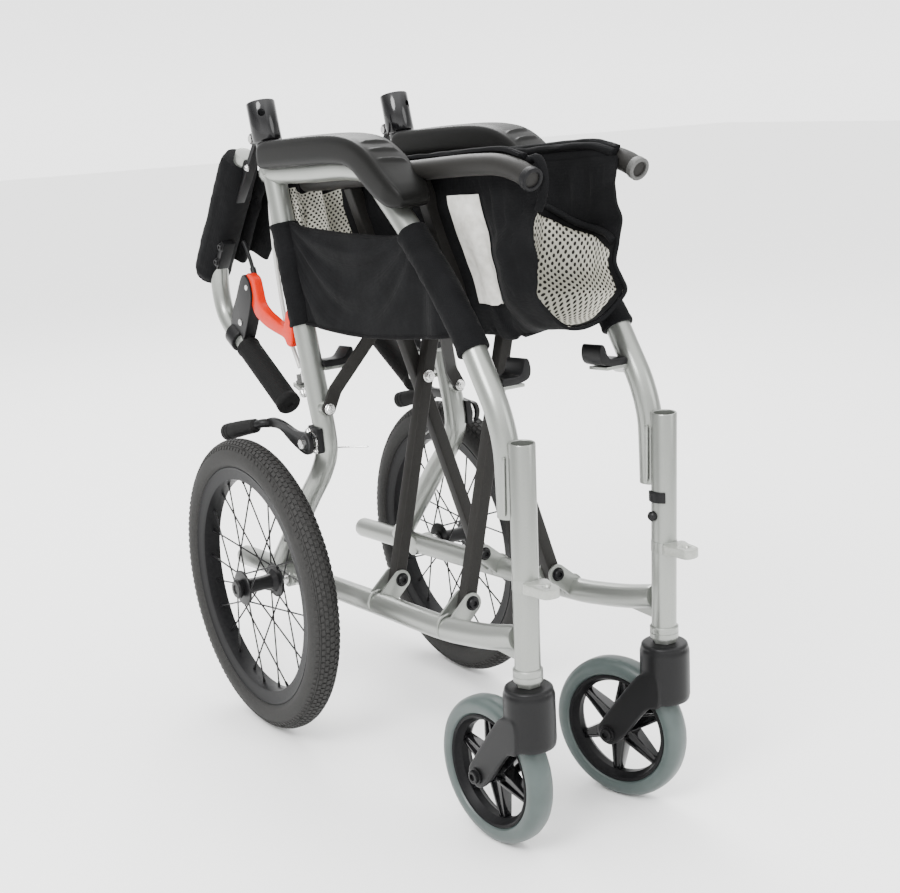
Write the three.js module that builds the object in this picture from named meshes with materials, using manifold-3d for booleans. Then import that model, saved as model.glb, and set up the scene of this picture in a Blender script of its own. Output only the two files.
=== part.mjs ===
// Folding transport wheelchair, modelled in its folded (stored) state.
// Millimetres, +Z up, the chair faces -Y, the user's left is +X.
import * as THREE from 'three';
import { mergeVertices } from 'three/addons/utils/BufferGeometryUtils.js';
import Module from 'manifold-3d';

const wasm = await Module();
wasm.setup();

// ---------------------------------------------------------------- driving dimensions
const Y_SHIFT = 101.54;           // puts the origin under the middle of the folded chair
const FRAME_X = 88;           // side-frame plane, folded
const STEM_X = 86.5;          // caster tube plane
const TUBE_R = 12.7;          // 25.4 mm frame tube
const PITCH = Math.atan(0.0694);  // the rails climb 4 degrees towards the front
const PIVOT_X = 61.5, PIVOT_Z = 205.3;   // lower brace pivots (x, z along the pitched frame)
const PIN_Z = 423.5;          // crossing pins
const SEAT_TUBE_X = 62.3, SEAT_TUBE_Z = 644.6, SEAT_TUBE_R = 10;
const STRUT_W = 14, STRUT_T = 15;        // brace strut section
const STRUT_Y = { rear_a: -140, rear_b: -124.4, front_a: -278, front_b: -262.4 };
const LINK_Z = 394.9, LINK_L = 135.8;    // lift links on the rear uprights
const LINK_TOP = [26.0, 515.9];
const SEAT_HINGE_X = 52, SEAT_VALLEY_Z = 467.9, SEAT_FRONT = -440, SEAT_REAR = -120;
const WHEEL_X = 140, WHEEL_Y = 63.4, WHEEL_R = 177.6, TYRE_S = 18;
const CASTER_R = 76.2, CASTER_TRAIL = 55.3, CASTER_Y = -400.2, CASTER_W = 14;
const SWIVEL = { right: 3.75, left: 16.84 };   // degrees each caster stands turned
const UP = new THREE.Vector2(0.2534, 0.9674);  // rear upright direction (y, z)
const HINGE = [73.7, 694.8];  // back hinge pin (y, z)
const CANE_R = 11, CANE_DIR = [0.6146, -0.7889], CANE_Q = [112.2, 677.9];
const CABLE_X = FRAME_X - 9;
const GRIP_A = [148, 447.6], GRIP_B = [48.9, 389.4], GRIP_R = 13.7;

// ---------------------------------------------------------------- helpers
const cp = Math.cos(PITCH), sp = Math.sin(PITCH);
const rail = (y) => 168.4 + (204.6 - y) * 0.0694;
const uprightY = (z) => -30.5 + 0.262 * (z - 375.9);

class Knots extends THREE.Curve {
  constructor(p) { super(); this.p = p.map((q) => new THREE.Vector3(...q)); }
  getPoint(t, o = new THREE.Vector3()) {
    const n = this.p.length - 1, f = Math.min(t * n, n - 1e-9), i = Math.floor(f);
    return o.lerpVectors(this.p[i], this.p[i + 1], f - i);
  }
  getPointAt(t, o) { return this.getPoint(t, o); }
  getSpacedPoints(n) { return Array.from({ length: n + 1 }, (_, i) => this.getPoint(i / n)); }
  getTangentAt(t, o = new THREE.Vector3()) {
    const n = this.p.length - 1, i = Math.round(t * n);
    const a = this.p[Math.max(0, i - 1)], b = this.p[i], c = this.p[Math.min(n, i + 1)];
    const u = i > 0 ? b.clone().sub(a).normalize() : new THREE.Vector3();
    const v = i < n ? c.clone().sub(b).normalize() : new THREE.Vector3();
    return o.copy(u.add(v).normalize());
  }
}
function solid(g) {
  g = g.clone();
  for (const k of Object.keys(g.attributes)) if (k !== 'position') g.deleteAttribute(k);
  g = mergeVertices(g, 1e-4);
  const p = g.attributes.position, idx = Array.from(g.index.array), tri = [];
  for (let i = 0; i < idx.length; i += 3) {
    const [a, b, c] = [idx[i], idx[i + 1], idx[i + 2]];
    if (a !== b && b !== c && a !== c) tri.push(a, b, c);
  }
  let v = 0;
  const A = new THREE.Vector3(), B = new THREE.Vector3(), C = new THREE.Vector3();
  for (let i = 0; i < tri.length; i += 3) {
    A.fromBufferAttribute(p, tri[i]); B.fromBufferAttribute(p, tri[i + 1]); C.fromBufferAttribute(p, tri[i + 2]);
    v += A.dot(B.cross(C));
  }
  if (v < 0) for (let i = 0; i < tri.length; i += 3) [tri[i], tri[i + 1]] = [tri[i + 1], tri[i]];
  return new wasm.Manifold(new wasm.Mesh({ numProp: 3, vertProperties: new Float32Array(p.array), triVerts: new Uint32Array(tri) }));
}
function geometry(m) {
  const k = m.getMesh(), g = new THREE.BufferGeometry();
  g.setAttribute('position', new THREE.BufferAttribute(new Float32Array(k.vertProperties), 3));
  g.setIndex(new THREE.BufferAttribute(new Uint32Array(k.triVerts), 1));
  g.computeVertexNormals();
  return g;
}
const add = (...m) => m.reduce((a, b) => a.add(b));
const cut = (a, ...m) => m.reduce((x, y) => x.subtract(y), a);
function tube(pts, r, n = 12) {
  const s = new THREE.Shape();
  for (let i = 0; i < n; i++) {
    const a = (2 * Math.PI * (i + 0.5)) / n, x = r * Math.cos(a), y = r * Math.sin(a);
    if (i) s.lineTo(x, y); else s.moveTo(x, y);
  }
  s.closePath();
  return solid(new THREE.ExtrudeGeometry(s, { extrudePath: new Knots(pts), steps: pts.length - 1, bevelEnabled: false, curveSegments: 1 }));
}
const smooth = (pts, n) => new THREE.CatmullRomCurve3(pts.map((p) => new THREE.Vector3(...p)), false, 'centripetal').getSpacedPoints(n).map((p) => p.toArray());
// cylinder between two points
const rod = (a, b, r, n = 12) => tube([a, b], r, n);
// polygon in (u, v) extruded along w; map(u, v, w) gives x, y, z
function prism(poly, w0, w1, map) {
  const s = new THREE.Shape(poly.map((p) => new THREE.Vector2(...p)));
  const g = new THREE.ExtrudeGeometry(s, { depth: w1 - w0, bevelEnabled: false, steps: 1, curveSegments: 1 });
  const p = g.attributes.position;
  for (let i = 0; i < p.count; i++) p.setXYZ(i, ...map(p.getX(i), p.getY(i), p.getZ(i) + w0));
  return solid(g);
}
const YZ = (u, v, w) => [w, u, v];                // side profile, extruded across
const XZ = (u, v, w) => [u, w, v];                // front profile, extruded fore-and-aft
const slope = (x, y, z) => [x, y * cp + z * sp, -y * sp + z * cp];   // pitched frame -> level frame
const XZS = (u, v, w) => slope(u, w, v);
const rodS = (a, b, r, n) => rod(slope(...a), slope(...b), r, n);
function capsule(a, b, r, n = 6) {
  const t = Math.atan2(b[1] - a[1], b[0] - a[0]), o = [];
  for (let i = 0; i <= n; i++) { const k = t + Math.PI / 2 + (Math.PI * i) / n; o.push([a[0] + r * Math.cos(k), a[1] + r * Math.sin(k)]); }
  for (let i = 0; i <= n; i++) { const k = t - Math.PI / 2 + (Math.PI * i) / n; o.push([b[0] + r * Math.cos(k), b[1] + r * Math.sin(k)]); }
  return o;
}
// ring profile (radius, offset along the axis) turned about the X direction through c
function turnedX(profile, c, n) {
  const pts = profile.map((p) => new THREE.Vector2(p[0], p[1]));
  pts.push(pts[0].clone());
  const g = new THREE.LatheGeometry(pts, n);
  const p = g.attributes.position;
  for (let i = 0; i < p.count; i++) p.setXYZ(i, c[0] + p.getY(i), c[1] + p.getX(i), c[2] + p.getZ(i));
  return solid(g);
}
const mirror = (m, s) => (s > 0 ? m : m.mirror([1, 0, 0]));

const paint = (c, r, m) => new THREE.MeshStandardMaterial({ color: c, roughness: r, metalness: m });
const M = {
  silver: paint(0xc4c6c1, 0.34, 0.75), brace: paint(0x45433f, 0.45, 0.3), plastic: paint(0x1c1c1d, 0.5, 0),
  gloss: paint(0x111113, 0.22, 0), rubber: paint(0x4d4c49, 0.85, 0), grey_tyre: paint(0x7b8583, 0.5, 0),
  fabric: paint(0x141416, 0.95, 0), mesh: paint(0xc9c6bb, 0.9, 0), pad: paint(0x4b4b48, 0.7, 0),
  orange: paint(0xf0501a, 0.35, 0), steel: paint(0xb4b4b2, 0.25, 1), foam: paint(0x1a1a1a, 0.95, 0), cable: paint(0x9c9c98, 0.5, 0.3),
};
const chair = new THREE.Group();
chair.position.set(0, Y_SHIFT, 0);
function part(name, m, mat, parent = chair) {
  const mesh = new THREE.Mesh(geometry(m), mat);
  mesh.name = name;
  parent.add(mesh);
  return mesh;
}

// ---------------------------------------------------------------- one side frame and all it carries
// built for the +X side and mirrored for the other
const upright = smooth([[0, uprightY(684), 684], [0, uprightY(600), 600], [0, uprightY(500), 500], [0, uprightY(410), 410],
  [0, -31.5, 372], [0, -32.5, 348], [0, -17, 321], [0, 15, 286], [0, 60, 234.3], [0, 112, 174.8]], 18).map((p) => [FRAME_X, p[1], p[2]]);
const armPath = smooth([[0, 36, 657.5], [0, -50, 661.3], [0, -130, 665.5], [0, -168, 661], [0, -206, 633.5], [0, -247, 598.5],
  [0, -290, 557], [0, -328.8, 511.7], [0, -352, 478], [0, -371.5, 447], [0, -382.6, 415], [0, -384.6, 380], [0, -385, 347]], 22).map((p) => [FRAME_X, p[1], p[2]]);
const railPath = [[FRAME_X, 204.6, rail(204.6)], [FRAME_X, 63.4, rail(63.4)], [FRAME_X, -120, rail(-120)], [FRAME_X, -262, rail(-262)], [FRAME_X, -298, 206.2], [FRAME_X, -345, 215.5], [87.5, -391, 227.5]];
const stemAxis = (z) => [STEM_X, -399.7 - 0.0255 * (z - 179.3), z];

for (const side of ['right', 'left']) {
  const s = side === 'left' ? 1 : -1;
  const P = (name, m, mat) => part(`${side}_${name}`, mirror(m, s), mat);
  const stemClear = rod(stemAxis(180), stemAxis(430), TUBE_R + 0.35, 16);
  const [yr, yf] = s > 0 ? [STRUT_Y.rear_b, STRUT_Y.front_b] : [STRUT_Y.rear_a, STRUT_Y.front_a];

  // rear frame: lower rail, rear upright, axle boss, brace ears, link boss, rear seat rest, brake boss
  let rear = add(tube(railPath, TUBE_R), tube(upright, TUBE_R));
  rear = rear.add(rod([FRAME_X, 52, 656.8], [FRAME_X, 38, 657.4], 13.2, 12));
  rear = rear.add(rod([76, WHEEL_Y, WHEEL_R], [103.2, WHEEL_Y, WHEEL_R], 12.5, 12));
  for (const yc of [yr, yf]) for (const d of [-1, 1]) {
    const a = yc + d * 7.9, b = yc + d * 10.9;
    rear = rear.add(prism(capsule([PIVOT_X, PIVOT_Z], [84, 186], 10.5), Math.min(a, b), Math.max(a, b), XZS));
  }
  rear = rear.add(rodS([FRAME_X, -55, LINK_Z], [FRAME_X, -70.4, LINK_Z], 8.5, 12));
  rear = rear.add(prism([[79, 436], [47, 436], [44, 446], [42, 456], [46, 458], [52, 449], [57, 446.6], [79, 446.6]], -58, -33, XZS));
  rear = rear.add(rod([96, -33, 362], [108, -33, 362], 8.5, 12));
  rear = cut(rear, stemClear, rod([88.2, WHEEL_Y, WHEEL_R], [104, WHEEL_Y, WHEEL_R], 5.4, 12));
  for (const yc of [yr, yf]) rear = rear.subtract(rodS([PIVOT_X, yc - 13, PIVOT_Z], [PIVOT_X, yc + 13, PIVOT_Z], 3.5, 10));
  P('rear_frame', rear, M.silver);

  // arm tube: armrest rail and front post, with the bracket of the front seat saddle
  let arm = tube(armPath, TUBE_R);
  arm = arm.add(prism([[84, 430], [84, 440], [50, 440], [50, 436.6], [70, 436.6]], -396, -368, XZS));
  arm = cut(arm, tube(upright, TUBE_R + 0.35), stemClear, rod([FRAME_X, 53, 656.8], [FRAME_X, 37, 657.4], 13.6, 12));
  P('arm_tube', arm, M.silver);

  // front caster tube with open top, bearing collar, nut and hanger lug
  let stem = add(rod(stemAxis(190), stemAxis(422), TUBE_R, 16),
    rod([STEM_X, CASTER_Y, 187], [STEM_X, CASTER_Y, 199.5], 14.4, 16), rod([STEM_X, CASTER_Y, 182.2], [STEM_X, CASTER_Y, 187.5], 12, 6));
  stem = stem.add(prism([[-402, 16.5], [-425, 10], [-433, 10], [-445, 4], [-445, -10], [-434, -10.5], [-420, -13], [-402, -16.5]], 281, 290, (u, v, w) => [STEM_X + v, u, w]));
  stem = cut(stem, rod(stemAxis(362), stemAxis(430), 10.4, 16), rod([STEM_X, -434.5, 275], [STEM_X, -434.5, 295], 3.4, 10));
  P('caster_tube', stem, M.silver);

  // armrest pad
  const padTop = [[44, 664], [44, 686], [38, 692], [-40, 697], [-105, 700], [-150, 698.5], [-186, 689.5], [-217, 671], [-246, 650], [-257, 640], [-255, 633], [-240, 630], [-222, 633],
    [-206, 636], [-168, 663], [-130, 667.5], [-50, 663.5]];
  let pad = prism(padTop, 65, 111, YZ);
  pad = cut(pad, tube(armPath, TUBE_R + 0.4), rod([FRAME_X, 40, 657.3], [FRAME_X, 70, 656.2], 13.2, 12), tube(upright, 13.2), rod([FRAME_X, uprightY(684), 684], [FRAME_X, uprightY(684) + 20 * 0.2534, 684 + 20 * 0.9674], 16.6, 12));
  pad = pad.subtract(prism([[-141, 600], [-141, 674], [-300, 674], [-300, 600]], 60, 75, YZ));
  P('armrest_pad', pad, M.pad);

  // fabric side panel between rear upright and front post
  let panel = prism([[uprightY(603), 603], [uprightY(493), 493], [-186, 497.5], [-330, 510.5], [-250, 596], [-236, 609]], 86.6, 89.4, YZ);
  panel = cut(panel, tube(upright, 13.6), tube(armPath, 13.6));
  P('side_panel', panel, M.fabric);

  // moulded seat saddle on the front bracket
  P('seat_saddle', prism([[74.6, 440.4], [49, 440.4], [43.5, 451], [46, 462], [49.6, 461.5], [53, 450], [58, 447.2], [74.6, 447.2]], -397, -367, XZS), M.plastic);

  // caster: fork with its axle bolt, wheel with bonded tyre
  const swivel = new THREE.Group();
  swivel.position.set(s * STEM_X, CASTER_Y, 0);
  swivel.rotation.z = THREE.MathUtils.degToRad(SWIVEL[side]);
  chair.add(swivel);
  const wc = [0, CASTER_TRAIL, CASTER_R];
  let fork = add(rod([0, 0, 119], [0, 0, 178], 25.5, 20), rod([0, 0, 170], [0, 0, 181.7], 22.5, 20));
  for (const d of [-1, 1]) fork = fork.add(prism([[0, 119], [0, 162], [16, 160], [25, 147], [66.5, 86], [68.3, 76], [64, 66.4], [55, 63.3], [46.5, 66.6], [10, 113]], Math.min(d * 19, d * 26.5), Math.max(d * 19, d * 26.5), YZ));
  fork = fork.subtract(rod([-18.9, wc[1], wc[2]], [18.9, wc[1], wc[2]], 79.6, 32));
  fork = fork.add(rod([-32, wc[1], wc[2]], [32, wc[1], wc[2]], 3.6, 10)).add(rod([-32, wc[1], wc[2]], [-26.4, wc[1], wc[2]], 7, 6)).add(rod([26.4, wc[1], wc[2]], [32, wc[1], wc[2]], 7, 6));
  part(`${side}_caster_fork`, fork, M.plastic, swivel);
  let cw = turnedX([[53.5, -11], [60, -12], [69, -13.2], [74.5, -9], [76.2, -3.5], [76.2, 3.5], [74.5, 9], [69, 13.2], [60, 12], [53.5, 11]], wc, 32);
  cw = cw.add(rod([-17, wc[1], wc[2]], [17, wc[1], wc[2]], 12, 12));
  for (let i = 0; i < 6; i++) {
    const a = (i * Math.PI) / 3 + 0.3;
    cw = cw.add(prism([[8, -6], [8, 6], [56, 7.5], [56, 3], [24, 0], [56, -3], [56, -7.5]], -8, 8, (u, v, w) => [w, wc[1] + u * Math.cos(a) - v * Math.sin(a), wc[2] + u * Math.sin(a) + v * Math.cos(a)]));
  }
  cw = cw.subtract(rod([-18, wc[1], wc[2]], [18, wc[1], wc[2]], 4.1, 10));
  part(`${side}_caster_wheel`, cw, M.grey_tyre, swivel);

  // spoked rear wheel, tyre and axle bolt
  const rc = [WHEEL_X, WHEEL_Y, WHEEL_R];
  P('rear_tyre', turnedX([[143.4, -12], [147, -16.2], [156, -18], [167, -15.5], [174.6, -8.5], [177.6, 0], [174.6, 8.5], [167, 15.5], [156, 18], [147, 16.2], [143.4, 12]], rc, 36), M.rubber);
  let wheel = turnedX([[143, -11.6], [143, 11.6], [134, 10], [131, 4], [131, -4], [134, -10]], rc, 36);
  wheel = wheel.add(add(rod([rc[0] - 26.5, rc[1], rc[2]], [rc[0] + 26.5, rc[1], rc[2]], 9.5, 12), rod([rc[0] - 23, rc[1], rc[2]], [rc[0] - 19.5, rc[1], rc[2]], 19, 14), rod([rc[0] + 19.5, rc[1], rc[2]], [rc[0] + 23, rc[1], rc[2]], 19, 14)));
  for (let i = 0; i < 16; i++) {
    const d = i % 2 ? 1 : -1, k = Math.floor(i / 2), t = k % 2 ? 1 : -1;
    const a0 = (2 * Math.PI * k) / 8 + (d > 0 ? 0.2 : 0), a1 = a0 + t * 0.62;
    wheel = wheel.add(rod([rc[0] + d * 21, rc[1] + 15 * Math.cos(a0 + t * 1.2), rc[2] + 15 * Math.sin(a0 + t * 1.2)], [rc[0] + d * 3, rc[1] + 134 * Math.cos(a0), rc[2] + 134 * Math.sin(a0)], 1.15, 4));
  }
  wheel = wheel.subtract(rod([rc[0] - 28, rc[1], rc[2]], [rc[0] + 28, rc[1], rc[2]], 5.5, 12));
  P('rear_wheel', wheel, M.gloss);
  P('rear_axle', add(rod([89, rc[1], rc[2]], [171, rc[1], rc[2]], 5, 12), rod([103.6, rc[1], rc[2]], [113.1, rc[1], rc[2]], 8, 12), rod([166.9, rc[1], rc[2]], [172, rc[1], rc[2]], 8, 6)), M.steel);

  // back hinge socket on top of the upright
  const ax = (t) => [FRAME_X, uprightY(684) + 0.2534 * t, 684 + 0.9674 * t];
  const top = 52.5;
  const ux = UP.x, uz = UP.y;
  let sock = rod(ax(0.6), ax(top), 16, 16);
  const lug = (x0, x1) => prism(capsule([HINGE[0] - 14 * uz, HINGE[1] + 14 * ux], HINGE, 5.8), x0, x1, YZ);
  sock = add(sock, lug(77.5, 81.5), lug(94.5, 98.5));
  sock = cut(sock, rod(ax(14), ax(top + 5), 12.2, 16), rod([FRAME_X, ax(36)[1] - 24, ax(36)[2] + 6.3], [FRAME_X, ax(36)[1], ax(36)[2]], 3.6, 10));
  sock = sock.subtract(rod([82, ...HINGE], [94, ...HINGE], 6.4, 12)).add(rod([79, ...HINGE], [97, ...HINGE], 2.6, 10));
  P('hinge_socket', sock, M.gloss);

  // folded back cane with its hinge strap
  const cane = (t) => [FRAME_X, CANE_Q[0] + CANE_DIR[0] * t, CANE_Q[1] + CANE_DIR[1] * t];
  const canePath = [cane(0), ...smooth([cane(50), cane(110), cane(145), [FRAME_X, 209.5, 536], [FRAME_X, 210.5, 508], [FRAME_X, 202, 483], [FRAME_X, 187, 468], [FRAME_X, 168, 458],
    [FRAME_X, GRIP_A[0], GRIP_A[1]]], 16), [FRAME_X, GRIP_B[0] + 4.3, GRIP_B[1] + 2.5]];
  const nd = [CANE_DIR[1], -CANE_DIR[0]];   // towards the front and down, square to the folded cane
  const strapAt = (t, d) => [CANE_Q[0] + CANE_DIR[0] * t + nd[0] * d, CANE_Q[1] + CANE_DIR[1] * t + nd[1] * d];
  let can = add(tube(canePath, CANE_R), prism([strapAt(-37, 17.8), strapAt(14, 17.8), strapAt(14, 24), strapAt(-37, 24)], 82.4, 93.6, YZ),
    rod([82.4, ...HINGE], [93.6, ...HINGE], 5.8, 12), prism([strapAt(4, 4), strapAt(14, 4), strapAt(14, 23), strapAt(4, 23)], 82.4, 93.6, YZ));
  can = can.subtract(rod([80, ...HINGE], [96, ...HINGE], 3, 10));
  P('back_cane', can, M.silver);

  // padded sleeve of the back upholstery on the cane
  const cov = (t, off, z = 0) => [FRAME_X, CANE_Q[0] + CANE_DIR[0] * t - nd[0] * off, CANE_Q[1] + CANE_DIR[1] * t - nd[1] * off];
  let cover = tube([cov(17, 6), cov(24, 6), cov(60, 6), cov(110, 5), cov(150, 5), cov(172, 5), cov(178, 5)], 21.5, 12);
  cover = cover.subtract(tube(canePath, CANE_R + 0.35));
  P('cane_cover', cover, M.fabric);

  // hand grip, brake lever bracket, lever
  P('grip', cut(rod([FRAME_X, ...GRIP_A], [FRAME_X, ...GRIP_B], GRIP_R, 14), tube(canePath, CANE_R + 0.3, 12)), M.foam);
  const barDir = new THREE.Vector2(-19.5, -10.3).normalize();
  let lb = add(prism([[172, 474], [150, 470], [146, 448], [127, 478], [113, 508], [117, 530], [129, 536], [138, 530], [158, 500], [173, 483]], 80, 96, YZ),
    rod([FRAME_X, 167 - barDir.x * 9, 457.5 - barDir.y * 9], [FRAME_X, 167 + barDir.x * 9, 457.5 + barDir.y * 9], 15.5, 14));
  lb = cut(lb, tube(canePath, CANE_R + 0.3, 12), rod([FRAME_X, GRIP_A[0] + 8.9, GRIP_A[1] + 5.2], [FRAME_X, ...GRIP_B], GRIP_R + 0.4, 14), rod([76, 121, 522], [100, 121, 522], 9.3, 12));
  P('brake_bracket', lb, M.plastic);
  let lever = add(rod([81, 121, 522], [95, 121, 522], 8.8, 12), prism([[124, 530], [110, 533], [92, 514], [66, 498], [36, 489], [13, 481], [8.6, 471], [15, 462], [26, 464], [48, 474], [78, 484], [102, 500], [114, 514]], 82.5, 93.5, YZ));
  // clear of the bracket at rest and at every step of the squeeze
  const bracketSide = [[146, 440], [126.3, 477.5], [112.3, 507.8], [116.3, 530.5], [128.8, 537], [160, 537]];
  for (const turn of [0, 4, 8, 12, 15]) {
    const t = (-turn * Math.PI) / 180;
    lever = lever.subtract(prism(bracketSide.map(([y, z]) => [121 + (y - 121) * Math.cos(t) - (z - 522) * Math.sin(t), 522 + (y - 121) * Math.sin(t) + (z - 522) * Math.cos(t)]), 79, 97, YZ));
  }
  lever = lever.add(rod([81, 121, 522], [95, 121, 522], 8.8, 12));
  P('brake_lever', lever, M.orange);

  // parking brake lever with rubber sleeved handle
  P('parking_lever', add(rod([108.4, -33, 362], [116, -33, 362], 9, 12), prism([[-33, 354], [-33, 370], [-6, 372], [24, 378], [52, 377], [64, 372], [64, 362], [50, 365], [26, 366], [2, 357]], 110, 115.5, YZ),
    rod([112, 60, 368.8], [124, 60, 368.8], 5, 8), rod([124, 58, 369], [124, 150, 346.5], 6.5, 10)), M.plastic);

  // attendant brake cables: one along the upright, one at the lever
  const low = smooth([[0, 64, 655], [0, 56, 615], [0, 45.5, 565], [0, 36, 515], [0, 28, 468], [0, 22, 425], [0, 12.5, 388]], 22).map((p) => [CABLE_X, p[1], p[2]]);
  P('brake_cable_lower', add(tube(low, 2.4, 8), rod([CABLE_X, 25, 440], [CABLE_X, 20.3, 418], 4.6, 6), tube([[CABLE_X, 12.5, 388], [80, 6, 372], [80, 1, 356.5], [79, -4, 348.5], [70, -14, 346.4], [56, -26, 346], [38, -41, 346]], 1.1, 6)), M.cable);
  P('brake_cable_upper', tube(smooth([[80, 129.5, 537.2], [79, 138, 548], [78, 150, 561], [77.5, 158.5, 571.5]], 6), 2.4, 8), M.cable);

  // lift link from the rear upright towards the brace
  const la = Math.atan2(LINK_TOP[1] - LINK_Z, FRAME_X - LINK_TOP[0]);
  const L = (u, v, w) => slope(FRAME_X - u * Math.cos(la) + v * Math.sin(la), w, LINK_Z + u * Math.sin(la) + v * Math.cos(la));
  const bar = prism([[0, -74.8], [22, -74.8], [88, -115.5], [LINK_L, -115.5], [LINK_L, -111.5], [90, -111.5], [24, -70.8], [0, -70.8]], -7, 7, (u, v, w) => L(u, w, v));
  let link = add(bar, rodS([FRAME_X, -74.8, LINK_Z], [FRAME_X, -70.8, LINK_Z], 9, 14));
  const T = LINK_TOP;
  link = link.add(rodS([T[0], -115.5, T[1]], [T[0], -111.5, T[1]], 7, 12));
  link = link.add(rodS([FRAME_X, -78.4, LINK_Z], [FRAME_X, -74.5, LINK_Z], 5.5, 6));
  P('lift_link', link, M.brace);
}

// ---------------------------------------------------------------- scissor brace
const strutDir = new THREE.Vector2(PIVOT_X, PIN_Z - PIVOT_Z).normalize();   // towards the far side, up
const strutLen = Math.hypot(PIVOT_X + SEAT_TUBE_X, SEAT_TUBE_Z - PIVOT_Z);
function strut(s, yc) {      // s: +1 starts at the +X pivot and leans to -X
  const at = (u, v) => [s * (PIVOT_X - u * strutDir.x + v * strutDir.y), PIVOT_Z + u * strutDir.y + v * strutDir.x];
  const h = STRUT_W / 2;
  let m = prism([at(-8, -h), at(-11, -h + 4), at(-11, h - 4), at(-8, h), at(strutLen, h), at(strutLen, -h)], yc - STRUT_T / 2, yc + STRUT_T / 2, XZS);
  m = cut(m, rodS([s * PIVOT_X, yc - 9, PIVOT_Z], [s * PIVOT_X, yc + 9, PIVOT_Z], 3.5, 10), rodS([0, yc - 9, PIN_Z], [0, yc + 9, PIN_Z], 3.5, 10),
    rodS([-s * SEAT_TUBE_X, yc - 20, SEAT_TUBE_Z], [-s * SEAT_TUBE_X, yc + 20, SEAT_TUBE_Z], SEAT_TUBE_R + 0.35, 16));
  return m;
}
part('brace_a_rear_strut', strut(-1, STRUT_Y.rear_a), M.brace);
part('brace_a_front_strut', strut(-1, STRUT_Y.front_a), M.brace);
part('brace_b_rear_strut', strut(1, STRUT_Y.rear_b), M.brace);
part('brace_b_front_strut', strut(1, STRUT_Y.front_b), M.brace);
const bolt = (x, z, y0, y1) => add(rodS([x, y0, z], [x, y1, z], 3.1, 10), rodS([x, y0 - 4.5, z], [x, y0 + 0.2, z], 5.5, 10), rodS([x, y1 - 0.2, z], [x, y1 + 4.5, z], 5.5, 6));
for (const [n, s, yc] of [['right_rear', -1, STRUT_Y.rear_a], ['right_front', -1, STRUT_Y.front_a], ['left_rear', 1, STRUT_Y.rear_b], ['left_front', 1, STRUT_Y.front_b]])
  part(`pivot_bolt_${n}`, bolt(s * PIVOT_X, PIVOT_Z, yc - 11.5, yc + 11.5), M.steel);
part('crossing_pin_rear', bolt(0, PIN_Z, STRUT_Y.rear_a - 8.1, STRUT_Y.rear_b + 8.1), M.steel);
part('crossing_pin_front', bolt(0, PIN_Z, STRUT_Y.front_a - 8.1, STRUT_Y.front_b + 8.1), M.steel);
for (const [n, s] of [['left', 1], ['right', -1]]) {
  const line = smooth([[-30, 0], [-120, 0], [-260, 1.5], [-370, 1.5], [-405, -1], [-432, -8], [-451, -16.5]].map((p) => [s * SEAT_TUBE_X, p[0], SEAT_TUBE_Z + p[1]]), 12).map((p) => slope(...p));
  part(`${n}_seat_tube`, tube(line, SEAT_TUBE_R, 16), M.brace);
}

// ---------------------------------------------------------------- sling seat in two hinged halves, back upholstery
{
  const H = [SEAT_HINGE_X, SEAT_TUBE_Z], V = [0, SEAT_VALLEY_Z];
  const d = new THREE.Vector2(H[0] - V[0], H[1] - V[1]).normalize(), n = [-d.y, d.x], len = Math.hypot(H[0] - V[0], H[1] - V[1]);
  const half = (s, u0, u1) => prism([[u0, 0], [u1, 0], [u1, 3.6], [u0, 3.6]].map(([u, v]) => [s * (d.x * u + n[0] * v), V[1] + d.y * u + n[1] * v]), SEAT_FRONT, SEAT_REAR, XZS);
  part('seat_sling_left', half(1, 13.5, len - 4), M.fabric);
  part('seat_sling_right', half(-1, 13.5, len - 50), M.fabric);
}
{
  // back upholstery hangs gathered between the uprights (lower) and between the canes (upper)
  const lowerBack = (x0, x1) => prism([[uprightY(505) - 5, 505], [uprightY(505) + 5, 505], [uprightY(650) + 5, 650], [uprightY(650) - 5, 650]], x0, x1, YZ);
  part('lower_back_panel', lowerBack(-74.6, 58), M.mesh);
  part('lower_back_hem', lowerBack(58.4, 74.6), M.mesh);
  const nd = [CANE_DIR[1], -CANE_DIR[0]];
  const at = (t, o) => [CANE_Q[0] + CANE_DIR[0] * t - nd[0] * o, CANE_Q[1] + CANE_DIR[1] * t - nd[1] * o];
  const upperBack = (x0, x1) => prism([at(34, 0), at(168, 0), at(168, 12), at(34, 12)], x0, x1, YZ);
  part('upper_back_panel', upperBack(-66.4, 46), M.fabric);
  part('upper_back_hem', upperBack(46.4, 66.4), M.fabric);
}

export default chair;
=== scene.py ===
import bpy, bmesh, math, random
from mathutils import Vector, Matrix, Euler, noise


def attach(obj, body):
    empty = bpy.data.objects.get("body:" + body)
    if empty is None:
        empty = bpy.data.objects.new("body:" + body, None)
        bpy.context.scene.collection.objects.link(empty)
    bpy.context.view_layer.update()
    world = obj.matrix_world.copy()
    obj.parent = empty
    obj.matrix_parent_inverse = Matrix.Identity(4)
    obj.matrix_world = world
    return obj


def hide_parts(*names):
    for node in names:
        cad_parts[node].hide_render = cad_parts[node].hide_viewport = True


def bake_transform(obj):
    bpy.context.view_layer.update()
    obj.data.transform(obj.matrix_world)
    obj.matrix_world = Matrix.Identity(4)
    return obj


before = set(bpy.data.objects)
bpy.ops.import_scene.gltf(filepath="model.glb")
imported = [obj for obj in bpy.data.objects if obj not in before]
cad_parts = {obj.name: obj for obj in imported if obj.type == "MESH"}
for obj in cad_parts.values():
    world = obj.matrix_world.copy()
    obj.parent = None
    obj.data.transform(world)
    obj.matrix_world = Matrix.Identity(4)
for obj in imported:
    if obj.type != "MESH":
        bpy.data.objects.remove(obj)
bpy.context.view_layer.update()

# ------------------------------------------------------------------ frame and camera
YS = 101.54                                  # same offset as the CAD
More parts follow.
